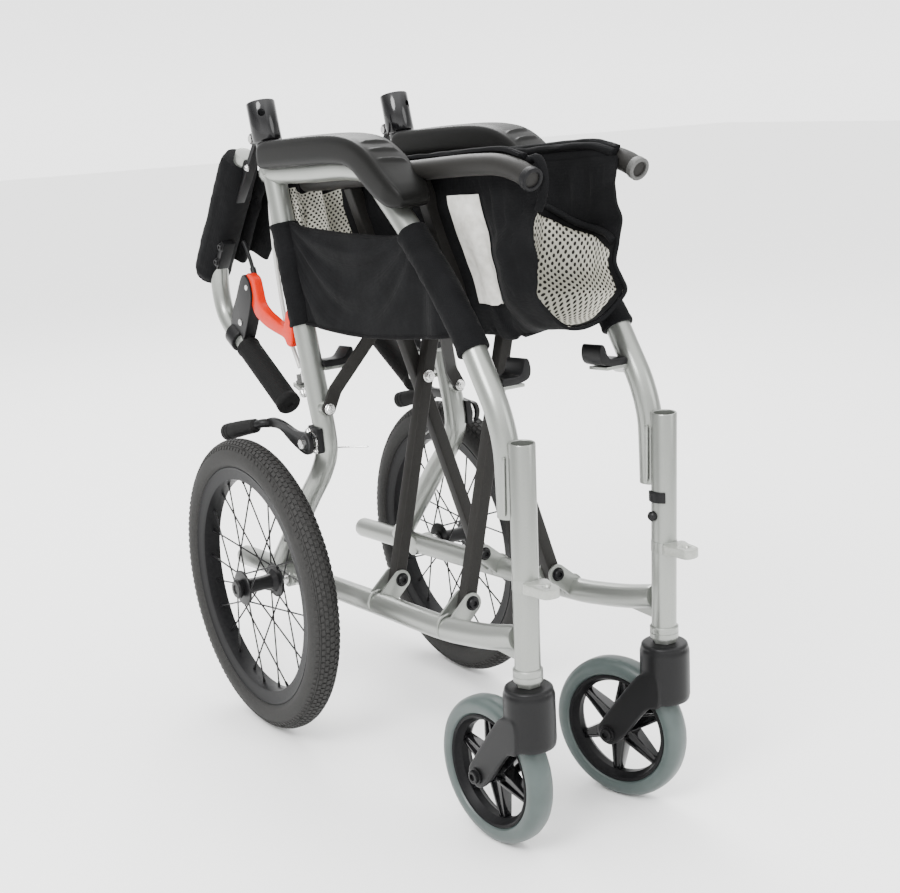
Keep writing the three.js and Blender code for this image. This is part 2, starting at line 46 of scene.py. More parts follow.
PITCH = math.atan(0.0694); CP, SP = math.cos(PITCH), math.sin(PITCH)
def W(x, y, z): return Vector((x / 1000, (y + YS) / 1000, z / 1000))
def SL(x, y, z): return (x, y * CP + z * SP, -y * SP + z * CP)

cam_data = bpy.data.cameras.new("camera"); cam = bpy.data.objects.new("camera", cam_data)
bpy.context.collection.objects.link(cam); bpy.context.scene.camera = cam
cam_data.sensor_width = 36; cam_data.sensor_fit = "HORIZONTAL"; cam_data.lens = 59.70
cam_data.clip_start, cam_data.clip_end = 0.05, 60
R_, U_, F_ = Vector((.82895, -.55691, -.05190)), Vector((.17442, .16923, .97002)), Vector((.53143, .81315, -.23742))
m = Matrix((R_, U_, -F_)).transposed().to_4x4(); m.translation = Vector((-.8684, -1.4818 + YS / 1000, .7467))
cam.matrix_world = m

# ------------------------------------------------------------------ materials
def material(name, color, rough, metal=0.0, coat=0.0, spec=0.5, sheen=0.0, coat_rough=0.1):
    mt = bpy.data.materials.new(name); mt.use_nodes = True
    nt = mt.node_tree; b = nt.nodes["Principled BSDF"]
    b.inputs["Base Color"].default_value = (*color, 1); b.inputs["Roughness"].default_value = rough
    b.inputs["Metallic"].default_value = metal; b.inputs["Coat Weight"].default_value = coat
    b.inputs["Coat Roughness"].default_value = coat_rough
    b.inputs["Specular IOR Level"].default_value = spec; b.inputs["Sheen Weight"].default_value = sheen
    b.inputs["Sheen Roughness"].default_value = 0.45
    mt["b"] = 1
    return mt, nt, b
def link(nt, a, ao, b, bi): nt.links.new(a.outputs[ao], b.inputs[bi])
def coords(nt, kind="Object", scale=(1, 1, 1)):
    t = nt.nodes.new("ShaderNodeTexCoord"); mp = nt.nodes.new("ShaderNodeMapping")
    mp.inputs["Scale"].default_value = scale
    link(nt, t, kind, mp, "Vector"); return mp
def add_noise(nt, b, scale, detail, bump, dist=0.001, colors=None, rough=None, kind="Object"):
    mp = coords(nt, kind); n = nt.nodes.new("ShaderNodeTexNoise"); n.inputs["Scale"].default_value = scale; n.inputs["Detail"].default_value = detail
    link(nt, mp, "Vector", n, "Vector")
    if bump:
        bp = nt.nodes.new("ShaderNodeBump"); bp.inputs["Strength"].default_value = bump; bp.inputs["Distance"].default_value = dist
        link(nt, n, "Fac", bp, "Height"); link(nt, bp, "Normal", b, "Normal")
    if colors:
        r = nt.nodes.new("ShaderNodeValToRGB"); r.color_ramp.elements[0].position = .3; r.color_ramp.elements[1].position = .7
        r.color_ramp.elements[0].color = (*colors[0], 1); r.color_ramp.elements[1].color = (*colors[1], 1)
        link(nt, n, "Fac", r, "Fac"); link(nt, r, "Color", b, "Base Color")
    if rough:
        mr = nt.nodes.new("ShaderNodeMapRange"); mr.inputs["To Min"].default_value = rough[0]; mr.inputs["To Max"].default_value = rough[1]
        link(nt, n, "Fac", mr, "Value"); link(nt, mr, "Result", b, "Roughness")
    return n
MAT = {}
mt, nt, b = material("silver_paint", (.26, .27, .25), .27, .72, .2); add_noise(nt, b, 1600, 1, 0, 0, ((.225, .235, .218), (.26, .27, .252)), (.27, .33)); MAT["silver"] = mt
mt, nt, b = material("brace_paint", (.0125, .012, .011), .5, .05, .0, spec=.14); add_noise(nt, b, 700, 2, .04, .0002, ((.011, .0105, .0097), (.0155, .0148, .0137)), (.44, .56)); MAT["brace"] = mt
mt, nt, b = material("black_moulding", (.004, .004, .0043), .36, spec=.18); add_noise(nt, b, 1400, 3, .12, .0003, ((.0034, .0034, .0037), (.0062, .0062, .0066)), (.3, .44)); MAT["plastic"] = mt
mt, nt, b = material("gloss_black", (.004, .004, .0045), .12, 0, .25, spec=.3); add_noise(nt, b, 60, 2, 0, 0, ((.0035, .0035, .004), (.006, .006, .0065)), (.09, .18)); MAT["gloss"] = mt
mt, nt, b = material("rear_tyre_rubber", (.019, .0187, .018), .68, spec=.2); add_noise(nt, b, 380, 4, .18, .0004, ((.015, .0147, .0142), (.026, .0255, .0245)), (.62, .82)); MAT["rubber"] = mt
mt, nt, b = material("grey_tyre", (.044, .059, .056), .34, spec=.4); add_noise(nt, b, 40, 3, .03, .0005, ((.039, .053, .05), (.051, .067, .064)), (.3, .46)); MAT["grey"] = mt
mt, nt, b = material("steel", (.62, .62, .61), .24, 1.0); add_noise(nt, b, 500, 2, .04, .0002, None, (.18, .34)); MAT["steel"] = mt
mt, nt, b = material("rim_black", (.004, .004, .0044), .42, spec=.1); add_noise(nt, b, 300, 2, .03, .0003, ((.005, .005, .0055), (.008, .008, .0085)), (.38, .52)); MAT["rim"] = mt
mt, nt, b = material("arm_pad_foam", (.0044, .0044, .0042), .42, spec=.1); add_noise(nt, b, 1500, 3, .2, .0003, ((.0036, .0036, .0034), (.006, .006, .0056)), (.36, .5)); MAT["pad"] = mt
mt, nt, b = material("orange_lever", (.5, .012, .0002), .32, 0, .05, spec=.1); add_noise(nt, b, 50, 2, 0, 0, ((.47, .011, .0002), (.53, .0135, .0002)), (.16, .28)); MAT["orange"] = mt
mt, nt, b = material("foam_grip", (.004, .004, .004), .72, spec=.08); add_noise(nt, b, 1600, 3, .3, .0004, ((.005, .005, .005), (.01, .01, .01))); MAT["foam"] = mt
mt, nt, b = material("cable_sleeve", (.5, .5, .48), .4, .3); add_noise(nt, b, 800, 2, .05, .0002, ((.46, .46, .44), (.54, .54, .52))); MAT["cable"] = mt
mt, nt, b = material("grey_cap", (.05, .05, .048), .5); add_noise(nt, b, 600, 2, .05, .0003, ((.042, .042, .04), (.06, .06, .058))); MAT["cap"] = mt
mt, nt, b = material("clear_white_clamp", (.30, .31, .285), .34, .45, .15); add_noise(nt, b, 500, 2, .03, .0002, ((.28, .29, .265), (.32, .33, .305))); MAT["clamp"] = mt
mt, nt, b = material("label", (.62, .61, .57), .6); add_noise(nt, b, 120, 3, .3, .0006, ((.5, .49, .45), (.68, .67, .63))); MAT["label"] = mt
# woven black cloth: two crossed fine waves over a soft mottling
def cloth_material(name, c0, c1, scale=1400, strength=.3, sheen=.015):
    mt, nt, b = material(name, c0, .82, spec=.07, sheen=sheen)
    n = add_noise(nt, b, 26, 5, 0, 0, (c0, c1))
    mp = coords(nt)
    w = []
    for d in ("X", "Z"):
        q = nt.nodes.new("ShaderNodeTexWave"); q.bands_direction = d; q.inputs["Scale"].default_value = scale / 6.28; q.inputs["Distortion"].default_value = 1.2
        link(nt, mp, "Vector", q, "Vector"); w.append(q)
    mul = nt.nodes.new("ShaderNodeMath"); mul.operation = "ADD"; link(nt, w[0], "Fac", mul, 0); link(nt, w[1], "Fac", mul, 1)
    bp = nt.nodes.new("ShaderNodeBump"); bp.inputs["Strength"].default_value = strength; bp.inputs["Distance"].default_value = .0005
    link(nt, mul, "Value", bp, "Height")
    n2 = nt.nodes.new("ShaderNodeTexNoise"); n2.inputs["Scale"].default_value = 70; n2.inputs["Detail"].default_value = 4; link(nt, mp, "Vector", n2, "Vector")
    b2 = nt.nodes.new("ShaderNodeBump"); b2.inputs["Strength"].default_value = .35; b2.inputs["Distance"].default_value = .0025
    link(nt, n2, "Fac", b2, "Height"); link(nt, bp, "Normal", b2, "Normal"); link(nt, b2, "Normal", b, "Normal")
    return mt
MAT["fabric"] = cloth_material("black_cloth", (.0026, .0027, .003), (.0052, .0053, .0058))
MAT["binding"] = cloth_material("black_binding", (.0018, .0018, .002), (.0036, .0036, .004), 2200, .3)
# honeycomb spacer mesh: holes in a staggered grid over UV
def mesh_material():
    mt, nt, b = material("honeycomb_mesh", (.46, .45, .39), .8, spec=.25)
    t = nt.nodes.new("ShaderNodeTexCoord")
    ds = []
    for off in (0.0, 0.5):
        mp = nt.nodes.new("ShaderNodeMapping"); mp.inputs["Scale"].default_value = (1, 1, 1); mp.inputs["Location"].default_value = (off, off, 0)
        link(nt, t, "UV", mp, "Vector")
        fr = nt.nodes.new("ShaderNodeVectorMath"); fr.operation = "FRACTION"; link(nt, mp, "Vector", fr, 0)
        sb = nt.nodes.new("ShaderNodeVectorMath"); sb.operation = "SUBTRACT"; link(nt, fr, "Vector", sb, 0); sb.inputs[1].default_value = (.5, .5, 0)
        sc = nt.nodes.new("ShaderNodeVectorMath"); sc.operation = "MULTIPLY"; link(nt, sb, "Vector", sc, 0); sc.inputs[1].default_value = (1, 1.35, 0)
        ln = nt.nodes.new("ShaderNodeVectorMath"); ln.operation = "LENGTH"; link(nt, sc, "Vector", ln, 0); ds.append(ln)
    mn = nt.nodes.new("ShaderNodeMath"); mn.operation = "MINIMUM"; link(nt, ds[0], "Value", mn, 0); link(nt, ds[1], "Value", mn, 1)
    r = nt.nodes.new("ShaderNodeValToRGB"); r.color_ramp.elements[0].position = .22; r.color_ramp.elements[1].position = .30
    r.color_ramp.elements[0].color = (.012, .011, .01, 1); r.color_ramp.elements[1].color = (.46, .45, .39, 1)
    link(nt, mn, "Value", r, "Fac"); link(nt, r, "Color", b, "Base Color")
    bp = nt.nodes.new("ShaderNodeBump"); bp.inputs["Strength"].default_value = .7; bp.inputs["Distance"].default_value = .0015
    link(nt, r, "Color", bp, "Height"); link(nt, bp, "Normal", b, "Normal")
    return mt
MAT["mesh"] = mesh_material()

# ------------------------------------------------------------------ geometry helpers (mm, chair frame before the offset)
def make(name, verts, faces, mat, smooth=40, uvs=None, bevel=0, bevel_angle=40, segs=2):
    me = bpy.data.meshes.new(name)
    me.from_pydata([W(*v) for v in verts], [], faces); me.validate()
    ob = bpy.data.objects.new(name, me); bpy.context.collection.objects.link(ob)
    bm = bmesh.new(); bm.from_mesh(me); bmesh.ops.remove_doubles(bm, verts=bm.verts, dist=1e-6); bmesh.ops.recalc_face_normals(bm, faces=bm.faces)
    if bevel:
        ed = [e for e in bm.edges if len(e.link_faces) == 2 and e.calc_face_angle(0) > math.radians(bevel_angle)]
        bmesh.ops.bevel(bm, geom=ed, offset=bevel / 1000, segments=segs, profile=.6, affect="EDGES", clamp_overlap=True)
    bm.to_mesh(me); bm.free()
    me.shade_smooth(); me.set_sharp_from_angle(angle=math.radians(smooth))
    me.materials.append(MAT[mat] if isinstance(mat, str) else mat)
    return ob
def join(name, obs):
    obs = [o for o in obs if o]
    bpy.ops.object.select_all(action="DESELECT")
    for o in obs: o.select_set(True)
    bpy.context.view_layer.objects.active = obs[0]
    if len(obs) > 1: bpy.ops.object.join()
    obs[0].name = name; obs[0].data.name = name
    return obs[0]
def curve(pts, n):
    """n+1 points evenly along a smooth curve through pts"""
    P = [Vector(p) for p in pts]
    if len(P) == 2: return [P[0].lerp(P[1], i / n) for i in range(n + 1)]
    out = []
    for i in range(len(P) - 1):
        p1, p2 = P[i], P[i + 1]; p0 = P[i - 1] if i else p1 * 2 - p2; p3 = P[i + 2] if i + 2 < len(P) else p2 * 2 - p1
        t0, t1 = 0, (p1 - p0).length ** .5; t2 = t1 + (p2 - p1).length ** .5; t3 = t2 + (p3 - p2).length ** .5
        for k in range(24):
            t = t1 + (t2 - t1) * k / 24
            A1 = p0 * ((t1 - t) / (t1 - t0)) + p1 * ((t - t0) / (t1 - t0)); A2 = p1 * ((t2 - t) / (t2 - t1)) + p2 * ((t - t1) / (t2 - t1)); A3 = p2 * ((t3 - t) / (t3 - t2)) + p3 * ((t - t2) / (t3 - t2))
            B1 = A1 * ((t2 - t) / (t2 - t0)) + A2 * ((t - t0) / (t2 - t0)); B2 = A2 * ((t3 - t) / (t3 - t1)) + A3 * ((t - t1) / (t3 - t1))
            out.append(B1 * ((t2 - t) / (t2 - t1)) + B2 * ((t - t1) / (t2 - t1)))
    out.append(P[-1])
    L = [0]
    for a, b2 in zip(out, out[1:]): L.append(L[-1] + (b2 - a).length)
    res = []; j = 0
    for i in range(n + 1):
        s = L[-1] * i / n
        while j < len(L) - 2 and L[j + 1] < s: j += 1
        f = (s - L[j]) / max(1e-9, L[j + 1] - L[j]); res.append(out[j].lerp(out[j + 1], min(1, f)))
    return res
def frames(path):
    T = [(path[min(i + 1, len(path) - 1)] - path[max(i - 1, 0)]).normalized() for i in range(len(path))]
    n = T[0].cross(Vector((1, 0, 0)))
    if n.length < .1: n = T[0].cross(Vector((0, 0, 1)))
    n.normalize(); out = []
    for t in T:
        n = (n - t * n.dot(t)).normalized(); out.append((t, n, t.cross(n)))
    return out
def tube(name, pts, r, mat, seg=28, n=None, caps=True, inner=0, ry=None, bulge=None, uvscale=None, smooth=40):
    """swept round tube; r is a number or a function of 0..1; bulge(t, angle) adds to the radius"""
    path = curve(pts, n or max(2, 14 * (len(pts) - 1) if len(pts) > 2 else 2)); fr = frames(path); N = len(path)
    V, F = [], []
    for i, p in enumerate(path):
        t = i / (N - 1); rr = r(t) if callable(r) else r
        for k in range(seg):
            a = 2 * math.pi * k / seg; q = rr + (bulge(t, a) if bulge else 0)
            V.append(p + (fr[i][1] * math.cos(a) * q + fr[i][2] * math.sin(a) * (q * (ry or 1))))
    for i in range(N - 1):
        for k in range(seg):
            F.append((i * seg + k, i * seg + (k + 1) % seg, (i + 1) * seg + (k + 1) % seg, (i + 1) * seg + k))
    if inner:
        for i in (0, N - 1):
            base = len(V)
            rr = r(i / (N - 1)) if callable(r) else r
            for rad, back in ((inner, 0), (inner, min(inner * 2.2, 30)), (inner * .2, min(inner * 2.2, 30))):
                for k in range(seg):
                    a = 2 * math.pi * k / seg
                    V.append(path[i] + (fr[i][0] * (back if i == 0 else -back)) + fr[i][1] * math.cos(a) * rad + fr[i][2] * math.sin(a) * rad)
            prev = [i * seg + k for k in range(seg)]
            for s in range(3):
                cur = [base + s * seg + k for k in range(seg)]
                for k in range(seg): F.append((prev[k], prev[(k + 1) % seg], cur[(k + 1) % seg], cur[k]))
                prev = cur
            F.append(tuple(prev))
    elif caps: F.append(tuple(range(seg))); F.append(tuple((N - 1) * seg + k for k in range(seg)))
    return make(name, [tuple(v) for v in V], F, mat, smooth, bevel=.7 if (caps and not inner) else 0, bevel_angle=70)
def lathe(name, prof, c, axis, mat, seg=48, closed=False, smooth=32, ref=None):
    """prof: (radius, along axis). closed: profile is a loop, otherwise it starts and ends on the axis or is capped"""
    ax = Vector(axis).normalized(); u = ax.cross(Vector(ref) if ref else (Vector((0, 0, 1)) if abs(ax.z) < .9 else Vector((0, 1, 0)))).normalized(); v = ax.cross(u); c = Vector(c)
    V, F = [], []; M = len(prof)
    for k in range(seg):
        a = 2 * math.pi * k / seg; d = u * math.cos(a) + v * math.sin(a)
        for r, h in prof: V.append(c + d * r + ax * h)
    rng = range(M) if closed else range(M - 1)
    for k in range(seg):
        k2 = (k + 1) % seg
        for i in rng: j = (i + 1) % M; F.append((k * M + i, k * M + j, k2 * M + j, k2 * M + i))
    if not closed:
        if prof[0][0] > 1e-6: F.append(tuple(k * M for k in range(seg)))
        if prof[-1][0] > 1e-6: F.append(tuple(k * M + M - 1 for k in range(seg)))
    V = [tuple(v) for v in V]
    me_faces = [f for f in F]
    return make(name, V, me_faces, mat, smooth)
def prism(name, poly, w0, w1, fn, mat, bevel=1.0, segs=2, angle=40):
    n = len(poly)
    V = [fn(u, v, w0) for u, v in poly] + [fn(u, v, w1) for u, v in poly]
    F = [tuple(range(n)), tuple(range(n, 2 * n))] + [(i, (i + 1) % n, n + (i + 1) % n, n + i) for i in range(n)]
    return make(name, V, F, mat, 35, bevel=bevel, bevel_angle=angle, segs=segs)
YZ = lambda u, v, w: (w, u, v)
XZS = lambda u, v, w: SL(u, w, v)
def capsule(a, b, r, n=10):
    t = math.atan2(b[1] - a[1], b[0] - a[0]); o = []
    for i in range(n + 1): k = t + math.pi / 2 + math.pi * i / n; o.append((a[0] + r * math.cos(k), a[1] + r * math.sin(k)))
    for i in range(n + 1): k = t - math.pi / 2 + math.pi * i / n; o.append((b[0] + r * math.cos(k), b[1] + r * math.sin(k)))
    return o
def smooth_poly(poly, n=4):
    """rounded closed outline through the given points"""
    P = [Vector((*p, 0)) for p in poly]; N = len(P); out = []
    for i in range(N):
        p0, p1, p2, p3 = P[i - 1], P[i], P[(i + 1) % N], P[(i + 2) % N]
        for k in range(n):
            t = k / n; q = .5 * ((2 * p1) + (p2 - p0) * t + (2 * p0 - 5 * p1 + 4 * p2 - p3) * t * t + (3 * p1 - p0 - 3 * p2 + p3) * t ** 3); out.append((q.x, q.y))
    return out
def bolt(name, c, d, r=5.5, h=4.5, kind="hex", mat="steel"):
    """head standing on the surface at c, pointing along d"""
    d = Vector(d).normalized(); c = Vector(c)
    o = [lathe(name, [(0, -.6), (r * 1.28, -.6), (r * 1.28, .5), (r * 1.2, .9), (0, .9)], c, d, mat, 24)]
    if kind == "hex":
        o.append(lathe(name, [(0, .5), (r * 1.06, .5), (r * 1.08, h * .8), (r * .92, h), (r * .6, h), (r * .55, h + 1.2), (0, h + 1.4)], c, d, mat, 6, smooth=25))
    else:
        o.append(lathe(name, [(0, .5), (r, .5), (r, h * .75), (r * .86, h), (r * .5, h), (r * .48, h - 2.2), (0, h - 2.2)], c, d, mat, 24))
    return join(name, o)
def weld(name, c, d, r, w=1.6, mat="silver"):
    """small raised weld bead ring round a tube joint"""
    return lathe(name, [(r + w * math.cos(a), w * math.sin(a)) for a in [i * math.pi / 4 for i in range(8)]], c, d, mat, 36, closed=True)
def settle(P, pinned, cap, frames=18, grow=.03, gravity=.35, bend=1.2):
    """let a grid of points (mm) hang and buckle as cloth held at the pinned points; no point moves more than cap"""
    nj, ni = len(P), len(P[0]); me = bpy.data.meshes.new("settle")
    me.from_pydata([v / 1000 for r in P for v in r], [], [(j * ni + i, j * ni + i + 1, (j + 1) * ni + i + 1, (j + 1) * ni + i) for j in range(nj - 1) for i in range(ni - 1)])
    ob = bpy.data.objects.new("settle", me); bpy.context.collection.objects.link(ob)
    vg = ob.vertex_groups.new(name="pin"); vg.add([j * ni + i for j in range(nj) for i in range(ni) if pinned(i / (ni - 1), j / (nj - 1))], 1.0, "REPLACE")
    md = ob.modifiers.new("cloth", "CLOTH"); st = md.settings; st.quality = 5; st.mass = .2
    st.tension_stiffness = 14; st.compression_stiffness = 8; st.shear_stiffness = 4; st.bending_stiffness = bend
    st.vertex_group_mass = "pin"; st.shrink_min = -grow; st.shrink_max = -grow; st.effector_weights.gravity = gravity
    md.point_cache.frame_start, md.point_cache.frame_end = 1, frames + 1
    sc = bpy.context.scene
    for f in range(1, frames + 1): sc.frame_set(f)
    ev = ob.evaluated_get(bpy.context.evaluated_depsgraph_get()); co = [v.co * 1000 for v in ev.data.vertices]
    out = []
    for j in range(nj):
        row = []
        for i in range(ni):
            d = co[j * ni + i] - P[j][i]
            if d.length > cap: d *= cap / d.length
            row.append(P[j][i] + d)
        out.append(row)
    bpy.data.objects.remove(ob); bpy.data.meshes.remove(me); sc.frame_set(1)
    return out
PIECES = []
def ride(ob, body, *nodes, slot=None):
    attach(ob, body)
    if nodes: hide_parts(*nodes)
    PIECES.append(ob); return ob

FX, TR = 88.0, 12.7
rail = lambda y: 168.4 + (204.6 - y) * .0694
upy = lambda z: -30.5 + .262 * (z - 375.9)
UX, UZ = .2534, .9674
upright = [(0, upy(700), 700), (0, upy(600), 600), (0, upy(500), 500), (0, upy(410), 410), (0, -31.5, 372), (0, -32.5, 348), (0, -17, 321), (0, 15, 286), (0, 60, 234.3), (0, 108, 179.5)]
arm = [(0, 44, 657.2), (0, -50, 661.3), (0, -130, 665.5), (0, -168, 661), (0, -206, 633.5), (0, -247, 598.5), (0, -290, 557), (0, -328.8, 511.7), (0, -352, 478), (0, -371.5, 447), (0, -382.6, 415), (0, -384.6, 380), (0, -385, 347)]
railp = [(FX, 204.6, rail(204.6)), (FX, 63.4, rail(63.4)), (FX, -120, rail(-120)), (FX, -262, rail(-262)), (FX, -298, 206.2), (FX, -345, 215.5), (87, -389, 227)]
stem = lambda z: (86.5, -399.7 - .0255 * (z - 179.3), z)
HINGE = (73.7, 694.8); CQ, CD = (112.2, 677.9), (.6146, -.7889); ND = (CD[1], -CD[0])
cane = lambda t, o=0: (FX, CQ[0] + CD[0] * t - ND[0] * o, CQ[1] + CD[1] * t - ND[1] * o)
GA, GB = (148, 447.6), (48.9, 389.4)
def mx(s, pts): return [(s * p[0], *p[1:]) for p in pts]
def fx(s, fn): return lambda u, v, w: (lambda q: (s * q[0], q[1], q[2]))(fn(u, v, w))

for side, s in (("right", -1), ("left", 1)):
    B = f"{side}_side"; N = lambda n: f"{side}_{n}"
    at = lambda pts, x=FX: [(s * (x if p[0] == 0 else p[0]), p[1], p[2]) for p in pts]
    yr, yf = (-124.4, -262.4) if s > 0 else (-140.0, -278.0)
    # rear frame
    o = [tube("rail", mx(s, railp), TR, "silver", 32, 90), tube("up", at(upright), TR, "silver", 32, 110),
         tube("boss", [(s * 75.5, 63.4, 177.6), (s * 103.2, 63.4, 177.6)], 12.3, "silver", 32),
         lathe("stub", [(0, -6), (9, -4.5), (12.2, 0), (12.9, 6), (12.9, 12)], (s * FX, 57, 656.9), (0, -1, .04), "silver", 32)]
    for yc in (yr, yf):
        for d in (-1, 1):
            a = sorted((yc + d * 7.9, yc + d * 10.9))
            o.append(prism("ear", capsule((61.5, 205.3), (84, 186), 11), a[0], a[1], fx(s, XZS), "silver", .8))
        o.append(weld("w", SL(s * 88, yc, 184), (0, 1, -.07), 12.7, 1.5))
    for q, dd in (((FX, 60, 656.6), (0, 1, 0)),): pass
    o.append(weld("w", (s * FX, upy(657.5) , 655), (0, -UX, -UZ), 12.9, 1.6))
    o.append(lathe("boss2", [(0, 0), (8.4, 0), (8.4, 12), (0, 12)], (s * 96, -33, 362), (s, 0, 0), "silver", 24))
    o.append(lathe("boss3", [(0, 0), (8.6, 0), (8.6, 16), (0, 16)], SL(s * FX, -55, 394.9), (0, -CP, SP), "silver", 28))
    o.append(prism("sb", [(79, 436), (50, 436), (50, 440), (79, 440)], -58, -33, fx(s, XZS), "silver", .8))
    rb = prism("sbp", smooth_poly([(79, 440.3), (52, 440.3), (43, 447), (41.5, 456), (44.5, 458.5), (48, 455), (54, 448.5), (62, 447), (79, 447)], 3), -59, -32, fx(s, XZS), "plastic", 1.2)
    o.append(lathe("plug", [(0, 1.6), (11, 1.6), (12.1, .6), (12.1, -2), (0, -2)], (s * FX, 205.4, rail(205.4)), (0, 1, -.07), "cap", 32))
    o.append(prism("guss", [(-330, 205), (-392, 219), (-392, 206), (-386, 203)], -1.6, 1.6, fx(s, lambda u, v, w: (87 + w, u, v)), "silver", .6))
    ride(join(N("rear_frame_tubes"), o), B, N("rear_frame"), slot="frame"); ride(rb, B)
    rb.name = N("rear_seat_rest")
    # arm tube and saddle bracket
    o = [tube("arm", at(arm), TR, "silver", 32, 130), prism("br", [(84, 429), (84, 440), (50, 440), (50, 436.6), (72, 436.6)], -396, -368, fx(s, XZS), "silver", .8)]
    for q in ((-386, 360), (-385.6, 400)): o.append(lathe("wd", [(0, 0), (1, 0), (1, 1), (0, 1)], (s * 87, q[0] - 7, q[1]), (0, 0, 1), "silver", 8))
    o.append(tube("seam", [(s * 100.5, -392.5, 352), (s * 100.2, -393.5, 380), (s * 99.6, -394, 408)], 2.0, "silver", 10, 12))
    o.append(tube("seam2", [(s * 74, -392.5, 352), (s * 74, -393.5, 380), (s * 74.2, -394, 408)], 2.0, "silver", 10, 12))
    ride(join(N("arm_tube_tubes"), o), B, N("arm_tube"), slot="frame")
    # caster tube, collar, hanger lug
    a, bz = Vector(stem(199)), Vector(stem(422)); ax = bz - a; H = ax.length
    o = [lathe("st", [(0, 0), (12.7, 0), (12.7, H - .8), (12.2, H), (10.9, H), (10.4, H - .6), (10.4, H - 62), (0, H - 62)], (s * a.x, a.y, a.z), (s * ax.x, ax.y, ax.z), "silver", 40),
         lathe("col", [(0, -12), (14.2, -12), (14.6, -10.5), (14.6, -6.2), (14.1, -5.8), (14.1, -5.2), (14.6, -4.8), (14.6, 0), (13.4, 1.2), (0, 1.2)], (s * 86.5, -400.2, 199), (0, 0, 1), "silver", 40),
         lathe("nut", [(0, 0), (12.2, 0), (12.4, .6), (12.4, 4), (11.5, 5), (0, 5)], (s * 86.5, -400.2, 182.2), (0, 0, 1), "silver", 6, smooth=20)]
    st = join(N("caster_tube_tubes"), o)
    q = stem(285)
    cl = [lathe("cr", [(12.6, -6), (13.1, -5.6), (13.1, 5.6), (12.6, 6)], (s * q[0], q[1], q[2]), (0, -.0255, 1), "silver", 40, closed=True)]
    n_ = 14; hole = [(-434.5 + 4.2 * math.cos(2 * math.pi * i / n_), 4.2 * math.sin(2 * math.pi * i / n_)) for i in range(n_)]
    outl = smooth_poly([(-414, 12), (-428, 10.5), (-444, 7.5), (-445, -7.5), (-430, -11), (-414, -13)], 4)
    lg = prism("lug", outl, 280.8, 290.2, lambda u, v, w: (s * (86.5 + v), u, w), "clamp", 1.0)
    ct = lathe("ct", [(0, -8), (4, -8), (4, 8), (0, 8)], (s * 86.5, -434.5, 285.5), (0, 0, 1), "clamp", 20)
    md = lg.modifiers.new("h", "BOOLEAN"); md.object = ct; md.solver = "EXACT"
    bpy.context.view_layer.objects.active = lg; bpy.ops.object.select_all(action="DESELECT"); lg.select_set(True); bpy.ops.object.modifier_apply(modifier="h"); bpy.data.objects.remove(ct)
    cl.append(lg)
    ride(st, B, N("caster_tube"), slot="frame"); ride(join(N("hanger_lug"), cl), B)
    if s > 0:
        q0_ = stem(338); an_ = [math.radians(150 + 84 * i / 10) for i in range(11)]
        cp_ = prism("left_clip", [(q0_[0] + 12.6 * math.cos(a), q0_[1] + 12.6 * math.sin(a)) for a in an_] + [(q0_[0] + 15.6 * math.cos(a), q0_[1] + 15.6 * math.sin(a)) for a in an_[::-1]], 332.5, 343.5, lambda u, v, w: (u, v, w), "plastic", .8)
        ride(join("left_stem_clip", [cp_, lathe("bt", [(0, 0), (5, 0), (5, 4), (3.6, 5.6), (0, 6)], (86.5 - 12, -402, 318), (-1, 0, 0), "plastic", 20)]), B)
    # armrest pad: rounded section swept along the profile, with raised edge line and thumb ridges
    top = [(43, 681), (40, 688), (30, 692.3), (0, 694.5), (-40, 697.2), (-80, 699.2), (-115, 700.3), (-145, 699.3), (-168, 695.5), (-188, 688.5), (-205, 679), (-220, 668), (-234, 658), (-243, 651), (-249, 644), (-250.5, 638)]
    bot = [(43, 667.5), (41, 663.2), (30, 662.2), (0, 664), (-40, 666), (-80, 668), (-115, 669.3), (-133, 669.3), (-150, 668), (-166, 662.5), (-183, 651), (-200, 640.5), (-215, 633.5), (-228, 629.5), (-239, 629.5), (-247.5, 631.5)]
    V, F, NS, NK = [], [], 190, 56
    tp, bt = curve([(0, *p) for p in top], NS), curve([(0, *p) for p in bot], NS)
    for i in range(NS + 1):
        t = i / NS; A, Bq = tp[i], bt[i]; mid = (A + Bq) / 2; hv = (A - Bq) / 2; hh = max(hv.length, 1.2)
        wd = 23.5 * (1 - .18 * max(0, 1 - t / .05) ** 2 - .30 * max(0, (t - .9) / .1) ** 2)
        for k in range(NK):
            a_ = 2 * math.pi * k / NK; cx, cz = math.cos(a_), math.sin(a_)
            e = .38; x = wd * math.copysign(abs(cx) ** e, cx); z = math.copysign(abs(cz) ** (e + .1), cz)
            if cz > 0: z = z * (1 + .05 * (1 - (x / wd) ** 2))
            up = 0
            if cz > .35 and abs(x) < 15:                      # wavy thumb ridges at the front of the top
                for rc in (.72, .775, .83):
                    dd = (t - rc - .007 * math.sin(x * .36)) / .0058; up += 2.7 * math.exp(-dd * dd) * max(0, 1 - (x / 15.5) ** 4)
            if cz > .2: up += .9 * math.exp(-((abs(x) - wd * .86) / 1.3) ** 2)
            p = mid + hv * z + hv.normalized() * up
            V.append((s * (88 + x), p.y, p.z))
    for i in range(NS):
        for k in range(NK): F.append((i * NK + k, i * NK + (k + 1) % NK, (i + 1) * NK + (k + 1) % NK, (i + 1) * NK + k))
    F += [tuple(range(NK)), tuple(NS * NK + k for k in range(NK))]
    pad = make(N("armrest_pad_foam"), V, F, "pad", 60)
    for yc, zc in ((24, 672), (-30, 674)): pass
    ride(pad, B, N("armrest_pad"), slot="arm_pad")
